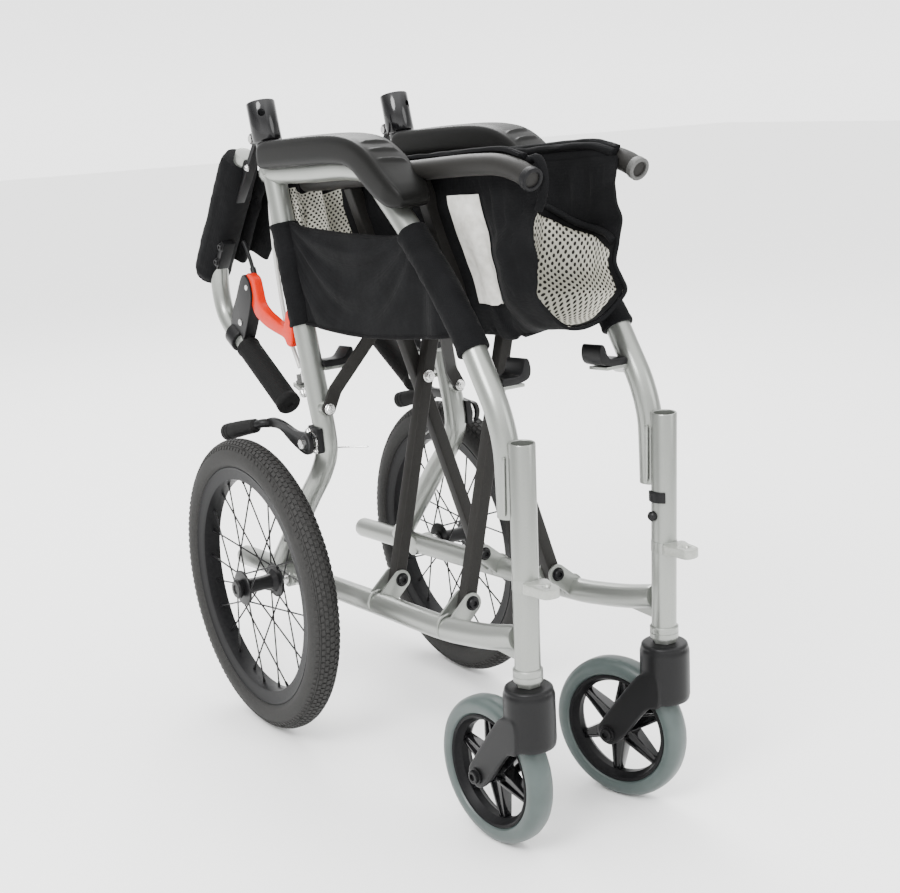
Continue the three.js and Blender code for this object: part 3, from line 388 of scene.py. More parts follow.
    # side panel with sagging hem, sleeves round the upright and the front post
    NU, NV = 66, 36; V, F = [], []; MP = []
    for j in range(NV + 1):
        v = j / NV; row = []
        zr, zf = 603 + (493 - 603) * v, 603 + (513 - 603) * v
        yr_, yf_ = upy(zr) - 6, (-247 - (598.5 - zf) * .93 if zf < 598.5 else -243)
        for i in range(NU + 1):
            u = i / NU; y = yr_ + (yf_ - yr_) * u; z = zr + (zf - zr) * u
            z += -6.5 * math.sin(math.pi * u) * v - 3.0 * math.sin(math.pi * u) * (1 - v)
            row.append(Vector((s * (88.5 + 1.6 * noise.noise(Vector((y * .02, z * .03, s * 3.1)))), y, z)))
        MP.append(row)
    MP = settle(MP, lambda u, v: u < .04 or u > .96, 5.0, grow=.009, gravity=.25)
    for layer in (0, 1):
        for row in MP:
            for q in row: V.append((q.x + s * (1.0 if layer else -1.0), q.y, q.z))
    M_ = (NU + 1) * (NV + 1); id_ = lambda l, j, i: l * M_ + j * (NU + 1) + i
    for l in (0, 1):
        for j in range(NV):
            for i in range(NU): F.append((id_(l, j, i), id_(l, j, i + 1), id_(l, j + 1, i + 1), id_(l, j + 1, i)))
    for i in range(NU): F += [(id_(0, 0, i), id_(0, 0, i + 1), id_(1, 0, i + 1), id_(1, 0, i)), (id_(0, NV, i), id_(0, NV, i + 1), id_(1, NV, i + 1), id_(1, NV, i))]
    for j in range(NV): F += [(id_(0, j, 0), id_(0, j + 1, 0), id_(1, j + 1, 0), id_(1, j, 0)), (id_(0, j, NU), id_(0, j + 1, NU), id_(1, j + 1, NU), id_(1, j, NU))]
    panel = make(N("side_panel_cloth"), V, F, "fabric", 70)
    # bound hems along the top and bottom
    hem = []
    for v in (0.0, 1.0):
        pts = []
        for i in range(0, NU + 1, 3):
            q = [V[id_(0, 0 if v == 0 else NV, i)][k] * .5 + V[id_(1, 0 if v == 0 else NV, i)][k] * .5 for k in range(3)]; pts.append((q[0], q[1], q[2]))
        hem.append(tube("hem", pts, 2.3, "binding", 10, 60, bulge=lambda t, a: .15 * math.sin(t * 400)))
    def wrink(seed, amp=.9):
        return lambda t, a: amp * noise.noise(Vector((t * 9 + seed, math.cos(a) * 1.4, math.sin(a) * 1.4))) + .5 * amp * noise.noise(Vector((t * 30, math.cos(a) * 3 + seed, math.sin(a) * 3)))
    zt, zb = (601, 489)
    sl1 = tube("sl", at([(0, upy(zt), zt), (0, upy(560), 560), (0, upy(520), 520), (0, upy(zb), zb)]), lambda t: 15.6 + .9 * math.exp(-((t - .02) / .02) ** 2) + .9 * math.exp(-((t - .98) / .02) ** 2), "fabric", 36, 60, bulge=wrink(1.7 + s))
    sl2 = tube("sl", at([(0, -240, 604.6), (0, -290, 557), (0, -328.8, 511.7), (0, -338, 499)]), lambda t: 15.8 + .9 * math.exp(-((t - .02) / .02) ** 2) + .9 * math.exp(-((t - .98) / .02) ** 2), "fabric", 36, 60, bulge=wrink(4.2 + s))
    ride(panel, B, N("side_panel"), slot="fabric")
    ride(join(N("panel_sleeves"), [sl1, sl2] + hem), B, slot="fabric")
    # moulded seat saddle
    sd = prism(N("seat_saddle_moulding"), smooth_poly([(74.6, 440.4), (56, 440.4), (45, 444), (42, 452), (43.5, 461), (46.5, 463), (49.4, 460), (52, 452), (57, 447.6), (74.6, 447.2)], 3), -397, -367, fx(s, XZS), "plastic", 1.6)
    ride(sd, B, N("seat_saddle"), slot="black_plastic")
    # hinge socket
    a = (s * FX, upy(684), 684); axd = (0, UX, UZ); T = 52.5
    so = lathe("so", [(0, .6), (13.6, .6), (13.9, 1.6), (13.9, 6.2), (15.6, 7.2), (16.4, 8.5), (16.4, T - 1.2), (15.6, T), (13, T), (12.2, T - 1), (12.2, 14), (0, 14)], a, axd, "gloss", 48)
    hc = Vector(a) + Vector(axd) * 38
    ct = lathe("ct", [(0, -2), (4.1, -2), (4.1, 30), (0, 30)], (hc.x, hc.y, hc.z), (-.5 * s * -1, -.866 * .9674, .2), "gloss", 20)
    md = so.modifiers.new("h", "BOOLEAN"); md.object = ct; md.solver = "EXACT"
    bpy.context.view_layer.objects.active = so; bpy.ops.object.select_all(action="DESELECT"); so.select_set(True); bpy.ops.object.modifier_apply(modifier="h"); bpy.data.objects.remove(ct)
    so.data.set_sharp_from_angle(angle=math.radians(35))
    o = [so]
    for x0, x1 in ((77.5, 81.5), (94.5, 98.5)):
        o.append(prism("lug", capsule((HINGE[0] - 13 * UZ, HINGE[1] + 13 * UX), HINGE, 6.2), x0, x1, fx(s, YZ), "gloss", .7))
    o.append(lathe("pin", [(0, 0), (4.2, 0), (4.2, 1.2), (2.6, 1.8), (2.6, 22.2), (4.2, 22.8), (4.2, 24), (0, 24)], (s * 88 - 12 , *HINGE), (1, 0, 0), "steel", 20))
    ride(join(N("socket_body"), o), B, N("hinge_socket"), slot="gloss_black")
    # folded cane, black strap, sleeve bracket
    C = f"{side}_cane"
    cpts = [cane(0), cane(50), cane(110), cane(145), (FX, 209.5, 536), (FX, 210.5, 508), (FX, 202, 483), (FX, 187, 468), (FX, 168, 458), (FX, *GA), (FX, GB[0] + 4.4, GB[1] + 2.6)]
    cn = tube(N("cane_tube"), mx(s, cpts), 11, "silver", 32, 130)
    ride(cn, C, N("back_cane"), slot="frame")
    sa = lambda t, d: (CQ[0] + CD[0] * t + ND[0] * d, CQ[1] + CD[1] * t + ND[1] * d)
    strap = prism("strap", [sa(-37, 17.6), sa(26, 14.5), sa(60, 13), sa(60, 17.5), sa(26, 21), sa(-32, 24.2), sa(-42, 24.2), sa(-44, 19.5)], 82.4, 93.6, fx(s, YZ), "plastic", 1.2)
    st2 = prism("strap2", [sa(2, 3), sa(16, 3), sa(16, 20), sa(2, 20)], 82.6, 93.4, fx(s, YZ), "plastic", 1.2)
    o = [strap, st2, lathe("sb", [(0, 82.4), (5.9, 82.4), (5.9, 93.6), (0, 93.6)], (0, *HINGE), (s, 0, 0), "plastic", 24)]
    q = sa(4, 21); o.append(bolt("bb", (s * 94, q[0], q[1]), (s, 0, 0), 3, 2.6, "cap"))
    ride(join(N("cane_strap"), o), C)
    # padded sleeve: wrinkled, closed ends, stitched seam
    def cov(t, a):
        e = -1.6 * (math.exp(-(t / .035) ** 2) + math.exp(-((1 - t) / .035) ** 2))
        return e * 2.2 + 1.3 * noise.noise(Vector((t * 5 + s, math.cos(a) * 1.3, math.sin(a) * 1.3))) + .55 * noise.noise(Vector((t * 22, math.cos(a) * 3 + s, math.sin(a) * 3))) - .9 * math.exp(-((a - 1.2) / .05) ** 2)
    cv = tube(N("cane_sleeve"), mx(s, [cane(13, 6), cane(60, 6), cane(110, 5), cane(150, 5), cane(192, 5)]), 22.6, "fabric", 48, 90, bulge=cov)
    ride(cv, C, N("cane_cover"), slot="fabric")
    sm = tube("sm", mx(s, [(FX + 19.8, *cane(16, 14)[1:]), (FX + 19.8, *cane(100, 13)[1:]), (FX + 19.8, *cane(177, 12)[1:])]), 1.0, "binding", 8, 60)
    bk = [prism("bk", [sa(118, 15), sa(158, 15), sa(158, 24), sa(118, 24)], 84, 100, fx(s, YZ), "plastic", 1.5)]
    for t in (125, 149): q = sa(t, 20); bk.append(bolt("bb", (s * 100.2, q[0], q[1]), (s, 0, 0), 4.2, 3.2, "cap", "plastic"))
    ride(join(N("sleeve_fittings"), [sm] + bk), C)
    # grip with ribs and end cap
    g0, g1 = Vector((s * FX, *GA)), Vector((s * FX, *GB)); gd = (g1 - g0); GL = gd.length
    prof = [(0, 0), (13.2, 0), (14.6, 1), (14.6, 4), (13.4, 5.2)]
    x = 7
    while x < GL - 12: prof += [(13.5, x), (13.85, x + .9), (13.5, x + 1.8)]; x += 2.6
    prof += [(13.4, GL - 9), (14.4, GL - 8), (14.6, GL - 2.5), (13.6, GL - .6), (11, GL), (4, GL), (3.4, GL - 1.2), (0, GL - 1.2)]
    ride(lathe(N("grip_foam"), prof, g0, gd, "foam", 40, smooth=50), C, N("grip"), slot="foam")
    # brake bracket, clamp, lever
    bd = [(174, 472), (160, 462), (149, 463), (143, 456), (127, 480), (114, 506), (113.5, 522), (120, 533), (130, 536.5), (139, 529), (153, 508), (165, 492)]
    o = [prism("bb", smooth_poly(bd, 3), 80, 96, fx(s, YZ), "plastic", 2.2, 3),
         lathe("bc", [(11.2, -10), (15.2, -10), (16, -8.8), (16, 8.8), (15.2, 10), (11.2, 10)], (s * FX, 167, 457.5), (0, -.884, -.467), "plastic", 40, closed=True),
         lathe("scr", [(0, 0), (4.2, 0), (4.2, .8), (3.4, 1.4), (2, 1.4), (2, .5), (0, .5)], (s * 96.2, 146, 478), (s, 0, 0), "steel", 20),
         lathe("scr", [(0, 0), (3.4, 0), (3.2, .9), (0, 1)], (s * 96.2, 121.5, 522), (s, 0, 0), "steel", 20),
         tube("adj", [(s * 80, 129.5, 533), (s * 79.6, 134.5, 543)], 3.6, "plastic", 16)]
    ride(join(N("brake_bracket_body"), o), C, N("brake_bracket"), slot="black_plastic")
    lv = [(127, 534.5), (118, 538), (107, 533.5), (102, 520), (97, 506), (84, 497), (64, 490), (46, 484.5), (38, 486), (34, 498), (28, 504), (21.5, 502), (19.5, 479), (23, 463), (34, 462), (42, 470), (66, 474.5), (90, 480), (110, 490), (118, 504)]
    lo = prism(N("brake_lever_blade"), smooth_poly(lv, 4), 82.5, 93.5, fx(s, YZ), "orange", 2.4, 3)
    ride(lo, f"{side}_brake", N("brake_lever"), slot="orange")
    # parking brake
    pp = [(-42, 352), (-46, 362), (-42, 372), (-30, 374), (-10, 373), (20, 378.5), (46, 379), (62, 374), (64, 366), (50, 367), (26, 368), (4, 359), (-20, 351), (-34, 349)]
    o = [prism("pl", smooth_poly(pp, 3), 110, 115.5, fx(s, YZ), "plastic", 1.0), lathe("pv", [(0, 0), (9, 0), (9.4, .6), (9.4, 7), (7.5, 8.6), (0, 8.6)], (s * 108.4, -33, 362), (s, 0, 0), "plastic", 28),
         tube("ph", [(s * 112, 56, 370.5), (s * 120, 60, 371), (s * 124, 68, 368.5), (s * 124, 150, 346.5)], lambda t: 5.2, "plastic", 20, 60),
         tube("pg", [(s * 124, 66, 368.2), (s * 124, 100, 359.9), (s * 124, 151, 346.2)], lambda t: 8.2 + 1.6 * min(1, t * 1.6) - 2.0 * max(0, 1 - t / .05), "foam", 28, 60, ry=.86, bulge=lambda t, a: .5 * (1 if math.sin(t * 70) > 0 else -.2) if t > .78 else .15 * math.sin(a * 10)),
         lathe("pn", [(0, 0), (5.6, 0), (5.6, 3.8), (4.4, 4.6), (0, 4.6)], (s * 117, -33, 362), (s, 0, 0), "steel", 6, smooth=20)]
    ride(join(N("parking_lever_arm"), o), f"{side}_parking", N("parking_lever"), slot="black_plastic")
    o = [lathe("pr", [(8.6, 0), (12.4, 0), (12.4, 2.2), (8.6, 2.2)], (s * 105.4, -33, 362), (s, 0, 0), "steel", 32, closed=True),
         prism("pb", [(-46, 350), (-20, 350), (-16, 366), (-24, 380), (-44, 378)], 97, 104.8, fx(s, YZ), "plastic", 1.4),
         bolt("pn", (s * 105, -26, 373), (s, 0, 0), 3.4, 3.4), bolt("pn", (s * 105, -40, 353), (s, 0, 0), 3.0, 3.0)]
    ride(join(N("parking_mount"), o), B)
    # cables
    low = [(68, 655), (76, 622), (76, 580), (70, 530), (58, 478), (34, 434)]
    lowp = [(s * 79, *p) for p in low]; cb = tube(N("lower_cable"), lowp, 2.5, "cable", 14, 70); ride(cb, B, N("brake_cable_lower"), slot="cable")
    o = [lathe("ad", [(0, 0), (3.2, 0), (3.2, 3), (4.8, 3.4), (4.8, 15), (3.4, 15.6), (3.4, 22), (0, 22)], (s * 79, 20.8, 416), (0, .2, .98), "steel", 12, smooth=25),
         tube("wi", [(s * 79, 20.6, 417), (s * 79, 12.5, 388), (s * 80, 6, 372), (s * 80, 1, 356.5), (s * 79, -4, 348.5), (s * 70, -14, 346.4), (s * 56, -26, 346), (s * 38, -41, 346)], .95, "steel", 8, 60),
         prism("bkt", [(33, 414), (33, 419), (-6, 409), (-6, 404)], 73, 90, fx(s, YZ), "silver", .8), lathe("ba", [(0, -9), (3.4, -9), (3.4, -3), (5.6, -2.6), (5.6, 2), (4, 2.4), (4, 9), (0, 9)], (s * 82, 28.5, 419), (0, .2, .98), "cap", 14, smooth=25), bolt("bn", (s * 90, 8, 410), (s, 0, 0), 4.6, 4)]
    ride(join(N("cable_fittings"), o), B)
    upp = [(s * 79.6, 134, 542), (s * 78, 143, 553), (s * 77.5, 152, 565), (s * 77.5, 158.5, 573)]; uc = tube(N("upper_cable"), upp, 2.4, "plastic", 12, 24); ride(uc, C, N("brake_cable_upper"), slot="cable")
    # lift link: flat cranked bar with rounded ends
    TX, TZ = 26.0, 515.9; la = math.atan2(TZ - 394.9, FX - TX)
    def LK(u, v, w): x = FX - u * math.cos(la) + v * math.sin(la); z = 394.9 + u * math.sin(la) + v * math.cos(la); q = SL(x, w, z); return (s * q[0], q[1], q[2])
    yl = lambda u: -72.8 if u < 22 else (-113.5 if u > 89 else -72.8 - 40.7 * (u - 22) / 67)
    outl = capsule((0, 0), (135.8, 0), 7.6, 12)
    top_, V, F = [], [], []
    NL = 40
    for i in range(NL + 1):
        u = -7.6 + (135.8 + 15.2) * i / NL; e = max(0, -u) if u < 0 else max(0, u - 135.8)
        hw = math.sqrt(max(.05, 7.6 ** 2 - e * e))
        for v, dy in ((-hw, 2), (hw, 2), (hw, -2), (-hw, -2)): V.append(LK(u, v, yl(u) + dy))
    for i in range(NL):
        for k in range(4): F.append((i * 4 + k, i * 4 + (k + 1) % 4, (i + 1) * 4 + (k + 1) % 4, (i + 1) * 4 + k))
    F += [(0, 1, 2, 3), tuple(NL * 4 + k for k in range(4))]
    o = [make("lk", V, F, "brace", 30)]
    p = SL(s * FX, -74.9, 394.9); o.append(bolt("lb", p, (0, -CP, SP), 5, 3.4, "hex"))
    p = SL(s * TX, -115.6, TZ); o.append(bolt("lb", p, (0, -CP, SP), 4.4, 3.0, "hex"))
    ride(join(N("lift_link_bar"), o), f"{side}_link", N("lift_link"), slot="brace")
    # rear wheel
    rc = (s * 140, 63.4, 177.6); WB = f"{side}_wheel"
    prof = [(143.2, -9), (144.5, -13.4), (148, -16.4), (153, -17.8), (158.5, -17.4), (163.5, -15.8), (167.4, -13.2), (170.6, -10.2), (172.8, -7.2), (174.0, -4.4), (174.7, -1.6), (174.7, 1.6), (174.0, 4.4), (172.8, 7.2), (170.6, 10.2), (167.4, 13.2), (163.5, 15.8), (158.5, 17.4), (153, 17.8), (148, 16.4), (144.5, 13.4), (143.2, 9)]
    body_ = lathe("tb", prof, rc, (1, 0, 0), "rubber", 144, closed=True, smooth=45)
    arcp = [(r_, h_) for r_, h_ in prof if r_ > 158]
    al = [0]
    for q0, q1 in zip(arcp, arcp[1:]): al.append(al[-1] + math.hypot(q1[0] - q0[0], q1[1] - q0[1]))
    def onarc(d_):
        """point and normal of the tyre section at arc distance d_ from the crown"""
        q_ = d_ + al[-1] / 2; i_ = max(i for i in range(len(al) - 1) if al[i] <= q_ + 1e-9); f_ = (q_ - al[i_]) / (al[i_ + 1] - al[i_])
        r_ = arcp[i_][0] + (arcp[i_ + 1][0] - arcp[i_][0]) * f_; h_ = arcp[i_][1] + (arcp[i_ + 1][1] - arcp[i_][1]) * f_
        th_ = math.atan2(h_ * .95, r_ - 157.5); return r_, h_, math.cos(th_), math.sin(th_)
    V, F = [], []
    def block(a0, a1, d0, d1, up, skew=0.0, n=1):
        base = len(V)
        for ia in range(n + 1):
            for jd, dd_ in enumerate((d0, d1)):
                r_, h_, nr, nh = onarc(dd_); a_ = a0 + (a1 - a0) * ia / n + (skew if jd else 0)
                for rr, hh in ((r_ - .6, h_), (r_ + nr * up, h_ + nh * up)): V.append((rc[0] + hh, rc[1] + rr * math.cos(a_), rc[2] + rr * math.sin(a_)))
        for ia in range(n):
            g = base + ia * 4; h2 = g + 4
            F.extend([(g + 1, g + 3, h2 + 3, h2 + 1), (g, g + 1, h2 + 1, h2), (g + 3, g + 2, h2 + 2, h2 + 3)])
        F.extend([(base, base + 2, base + 3, base + 1), (base + n * 4, base + n * 4 + 1, base + n * 4 + 3, base + n * 4 + 2)])
    NP = 132; pa = 2 * math.pi / NP
    for k in range(NP):
        a_ = k * pa
        block(a_, a_ + pa * .72, -2.6, 2.6, 1.1)
        for d in (-1, 1):
            block(a_ + pa * .5, a_ + pa * 1.22, *sorted((d * 3.4, d * 7.0)), 1.2)
            block(a_, a_ + pa * .72, *sorted((d * 7.9, d * 11.4)), 1.2, skew=d * pa * .12)
            block(a_, a_ + pa, *sorted((d * 12.2, d * 13.4)), 1.2)
            block(a_ + pa * .2, a_ + pa * .75, *sorted((d * 14.4, d * 18.2)), 1.0, skew=d * pa * .2)
    ty = join(N("tyre_tread"), [body_, make("tr", V, F, "rubber", 20)])
    ride(ty, WB, N("rear_tyre"), slot="tyre")
    o = [lathe("rim", [(144.4, -13.0), (143.0, -13.6), (141.4, -13.0), (140, -12.4), (133, -12), (128.4, -10.6), (126.4, -4), (126.4, 4), (128.4, 10.6), (133, 12), (140, 12.4), (141.4, 13.0), (143.0, 13.6), (144.4, 13.0)], rc, (1, 0, 0), "rim", 96, closed=True),
         lathe("hub", [(5.6, -26.5), (8.6, -26.5), (9.4, -25.5), (9.4, -23.6), (20.4, -22.8), (21, -21.8), (20.4, -20), (14, -18.8), (9.4, -14), (8.6, -6), (8.6, 6), (9.4, 14), (14, 18.8), (20.4, 20), (21, 21.8), (20.4, 22.8), (9.4, 23.6), (9.4, 25.5), (8.6, 26.5), (5.6, 26.5)], rc, (1, 0, 0), "plastic", 48, closed=True)]
    for i in range(24):
        d = 1 if i % 2 else -1; k = i // 2; t = 1 if k % 2 else -1
        a1 = 2 * math.pi * k / 12 + (.26 if d > 0 else 0) + .05; a0 = a1 - t * .95
        p0 = (rc[0] + d * (21.5 + .8 * t), rc[1] + 17.5 * math.cos(a0), rc[2] + 17.5 * math.sin(a0)); p1 = (rc[0] + d * 1.5, rc[1] + 127.5 * math.cos(a1), rc[2] + 127.5 * math.sin(a1))
        o.append(tube("sp", [p0, p1], 1.0, "plastic", 8, 1))
        e = (Vector(p0) - Vector(p1)).normalized(); o.append(lathe("np", [(0, 0), (1.7, 0), (1.7, 6), (1.2, 9), (0, 9)], Vector(p1) - e * 1, e, "plastic", 8))
    o.append(tube("vl", [(rc[0], rc[1] + 131 * math.cos(2.4), rc[2] + 131 * math.sin(2.4)), (rc[0], rc[1] + 108 * math.cos(2.4), rc[2] + 108 * math.sin(2.4))], 3.1, "plastic", 14, 2))
    ride(join(N("wheel_spokes"), o), WB, N("rear_wheel"), slot="gloss_black")
    o = [tube("ax", [(s * 89, 63.4, 177.6), (s * 168, 63.4, 177.6)], 5, "steel", 24, 2), lathe("spc", [(5.2, 0), (8, 0), (8, 9.2), (5.2, 9.2)], (s * 103.7, 63.4, 177.6), (s, 0, 0), "steel", 28, closed=True),
         lathe("cp", [(0, -1), (10.6, -1), (11.4, 0), (11.4, 2.6), (9.8, 4.6), (5.5, 4.9), (5, 3.6), (0, 3.6)], (s * 166.8, 63.4, 177.6), (s, 0, 0), "plastic", 32)]
    ride(join(N("axle_bolt"), o), B, N("rear_axle"), slot="steel")

    # casters, turned about their stems
    ang = math.radians(3.75 if s < 0 else 16.84); ca, sa_ = math.cos(ang), math.sin(ang)
    def K(x, y, z): return (s * 86.5 + x * ca - y * sa_, -400.2 + x * sa_ + y * ca, z)
    KX = (ca, sa_, 0); KB = f"{side}_caster"; KW = f"{side}_caster_roll"; wc = K(0, 55.3, 76.2)
    o = [lathe("cr", [(0, 181.7), (21.5, 181.7), (23.6, 180.6), (24.2, 178.4), (23.8, 176.8), (24.9, 175.6), (25.5, 173), (25.5, 126), (24.5, 121), (22, 119.4), (15, 119), (0, 140)], K(0, 0, 0), (0, 0, 1), "plastic", 56, smooth=50)]
    ctt = lathe("ct", [(0, -19), (79.6, -19), (79.6, 19), (0, 19)], wc, KX, "plastic", 96)
    leg = [(-8, 119.6), (-8, 150), (4, 154), (16, 150), (25.5, 140), (45, 114.5), (65.5, 86), (68.6, 78), (65.5, 68), (56.5, 63.4), (48, 65.6), (34, 79), (14, 105), (4, 115)]
    for d in (-1, 1):
        w0, w1 = sorted((d * 19.2, d * 26.3))
        lo_ = prism("lg", smooth_poly(leg, 3), w0, w1, lambda u, v, w: K(w, u, v), "plastic", 2.0, 3)
        bpy.context.view_layer.objects.active = o[0]; md = o[0].modifiers.new("u", "BOOLEAN"); md.operation = "UNION"; md.object = lo_; md.solver = "EXACT"
        bpy.ops.object.select_all(action="DESELECT"); o[0].select_set(True); bpy.ops.object.modifier_apply(modifier="u"); bpy.data.objects.remove(lo_)
    cr = o[0]; bpy.context.view_layer.objects.active = cr; bpy.ops.object.select_all(action="DESELECT"); cr.select_set(True)
    md = cr.modifiers.new("r", "REMESH"); md.mode = "VOXEL"; md.voxel_size = .0011; bpy.ops.object.modifier_apply(modifier="r")
    md = cr.modifiers.new("s", "SMOOTH"); md.factor = .5; md.iterations = 9; bpy.ops.object.modifier_apply(modifier="s")
    md = cr.modifiers.new("d", "DECIMATE"); md.ratio = .3; bpy.ops.object.modifier_apply(modifier="d")
    cr.data.shade_smooth()
    md = cr.modifiers.new("h", "BOOLEAN"); md.object = ctt; md.solver = "EXACT"
    bpy.context.view_layer.objects.active = cr; bpy.ops.object.select_all(action="DESELECT"); cr.select_set(True); bpy.ops.object.modifier_apply(modifier="h"); bpy.data.objects.remove(ctt)
    cr.data.set_sharp_from_angle(angle=math.radians(50))
    o.append(tube("ax", [K(-29, 55.3, 76.2), K(29, 55.3, 76.2)], 3.7, "steel", 20, 2))
    for d in (-1, 1):
        o.append(lathe("bh", [(0, 0), (8.2, 0), (8.6, .6), (8.6, 1.6), (7, 2), (6.8, 5), (5.9, 5.6), (3.4, 5.6), (3.2, 3.4), (0, 3.4)], K(d * 26.3, 55.3, 76.2), tuple(d * q for q in KX), "plastic", 24))
    ride(join(N("caster_fork_moulding"), o), KB, N("caster_fork"), slot="black_plastic")
    o = [lathe("ct", [(58.6, -10.2), (60.5, -12.6), (65, -14), (70.5, -13), (74, -10), (75.8, -6), (76.2, -2), (76.2, 2), (75.8, 6), (74, 10), (70.5, 13), (65, 14), (60.5, 12.6), (58.6, 10.2)], wc, KX, "grey", 96, closed=True),
         lathe("rm", [(58.7, -11.4), (57, -12.2), (55.2, -11.2), (53.5, -7.5), (50.8, -4), (50.8, 4), (53.5, 7.5), (55.2, 11.2), (57, 12.2), (58.7, 11.4)], wc, KX, "rim", 80, closed=True),
         lathe("hb", [(4.1, -17.5), (8.5, -17.5), (9.5, -16.6), (11.4, -12), (11.8, -8), (11.8, 8), (11.4, 12), (9.5, 16.6), (8.5, 17.5), (4.1, 17.5)], wc, KX, "gloss", 40, closed=True)]
    for i in range(6):
        a_ = i * math.pi / 3 + (.35 if s < 0 else .62)
        for d in (-1, 1):
            u0 = Vector((9.5, d * 8.2)); u1 = Vector((52.6, d * 2.8)); dr = (u1 - u0).normalized(); nn = Vector((-dr.y, dr.x)) * 1.5
            def KS(u, v, w, a_=a_): return K(w, 55.3 + u * math.cos(a_) - v * math.sin(a_), 76.2 + u * math.sin(a_) + v * math.cos(a_))
            q = [u0 + nn, u1 + nn, u1 - nn, u0 - nn]
            n = 4; VV = []
            for (p_, hw) in ((u0, 10.5), (u1, 6.0)):
                for sg in (1, -1): VV += [KS(p_.x + nn.x * sg, p_.y + nn.y * sg, -hw * .5), KS(p_.x + nn.x * sg, p_.y + nn.y * sg, hw)]
            if d > 0:
                wv = [KS(u_, v_, w_) for w_ in (-1.5, 3.0) for u_, v_ in ((9, -8.2), (52.8, -3), (52.8, 3), (9, 8.2))]
                o.append(make("wb", wv, [(0, 1, 2, 3), (4, 5, 6, 7), (0, 1, 5, 4), (1, 2, 6, 5), (2, 3, 7, 6), (3, 0, 4, 7)], "gloss", 35))
            o.append(make("sk", VV, [(0, 1, 3, 2), (4, 6, 7, 5), (0, 4, 5, 1), (2, 3, 7, 6), (0, 2, 6, 4), (1, 5, 7, 3)], "gloss", 35, bevel=.9))
    ride(join(N("caster_wheel_grey"), o), KW, N("caster_wheel"), slot="grey_tyre")

# ------------------------------------------------------------------ scissor brace
PX, PZ, CZ, SX, SZ = 61.5, 205.3, 423.5, 62.3, 644.6
sd = Vector((PX, CZ - PZ)).normalized(); SLEN = math.hypot(PX + SX, SZ - PZ)
for nm, s, yc, body, foot in (("brace_a_rear_strut", -1, -140.0, "brace_a", "right_side"), ("brace_a_front_strut", -1, -278.0, "brace_a", "right_side"), ("brace_b_rear_strut", 1, -124.4, "brace_b", "left_side"), ("brace_b_front_strut", 1, -262.4, "brace_b", "left_side")):
    pt = lambda u, v: (s * (PX - u * sd.x + v * sd.y), PZ + u * sd.y + v * sd.x)
    h = 7.0
    poly = [pt(-8, -h), pt(-10.5, -h * .5), pt(-10.5, h * .5), pt(-8, h), pt(SLEN - 9, h), pt(SLEN - 9, -h)]
    ob = prism(nm + "_bar", poly, yc - 7.4, yc + 7.4, XZS, "brace", 1.7, 3)
    ride(ob, body, nm, slot="brace")
for nm, s, yc in (("right_rear", -1, -140.0), ("right_front", -1, -278.0), ("left_rear", 1, -124.4), ("left_front", 1, -262.4)):
    o = [bolt("b", SL(s * PX, yc - 11.1, PZ), (0, -CP, SP), 6, 4.0, "cap", "plastic" if s < 0 else "plastic"), bolt("b", SL(s * PX, yc + 11.1, PZ), (0, CP, -SP), 5.2, 4.5), tube("p", [SL(s * PX, yc - 11, PZ), SL(s * PX, yc + 11, PZ)], 3.0, "steel", 16, 2)]
    ride(join(f"foot_bolt_{nm}", o), "right_side" if s < 0 else "left_side", f"pivot_bolt_{nm}", slot="steel")
for nm, y0, y1 in (("rear", -140.0, -124.4), ("front", -278.0, -262.4)):
    o = [bolt("b", SL(0, y0 - 7.6, CZ), (0, -CP, SP), 5.4, 5.0), bolt("b", SL(0, y1 + 7.6, CZ), (0, CP, -SP), 5.4, 3.5, "cap"), tube("p", [SL(0, y0 - 7, CZ), SL(0, y1 + 7, CZ)], 3.0, "steel", 16, 2)]
    ride(join(f"crossing_bolt_{nm}", o), "brace_a", f"crossing_pin_{nm}", slot="steel")
for nm, s, body in (("left", 1, "brace_a"), ("right", -1, "brace_b")):
    line = [SL(s * SX, p[0], SZ + p[1]) for p in [(-30, 0), (-120, 0), (-260, 1.5), (-370, 1.5), (-405, -1), (-432, -8), (-449, -16)]]
    tb = tube("t", line, 10.3, "brace", 32, 110)
    e0, e1 = Vector(line[-2]), Vector(line[-1]); dr = (e1 - e0).normalized()
    # the near (right) end cap uses the darker rim black instead of the grey cap colour: painted shade standing in for
    # the dark hollow end
    cap = lathe("c", [(7.2, -6), (10.6, -6), (11.2, -5), (11.2, .6), (10.2, 1.7), (8.2, 1.7), (7.4, .8), (7.0, -3), (0, -3)], e1 + dr * .5, dr, "cap" if s > 0 else "rim", 32)
    ride(join(f"{nm}_seat_tube_bar", [tb, cap]), body, f"{nm}_seat_tube", slot="brace")

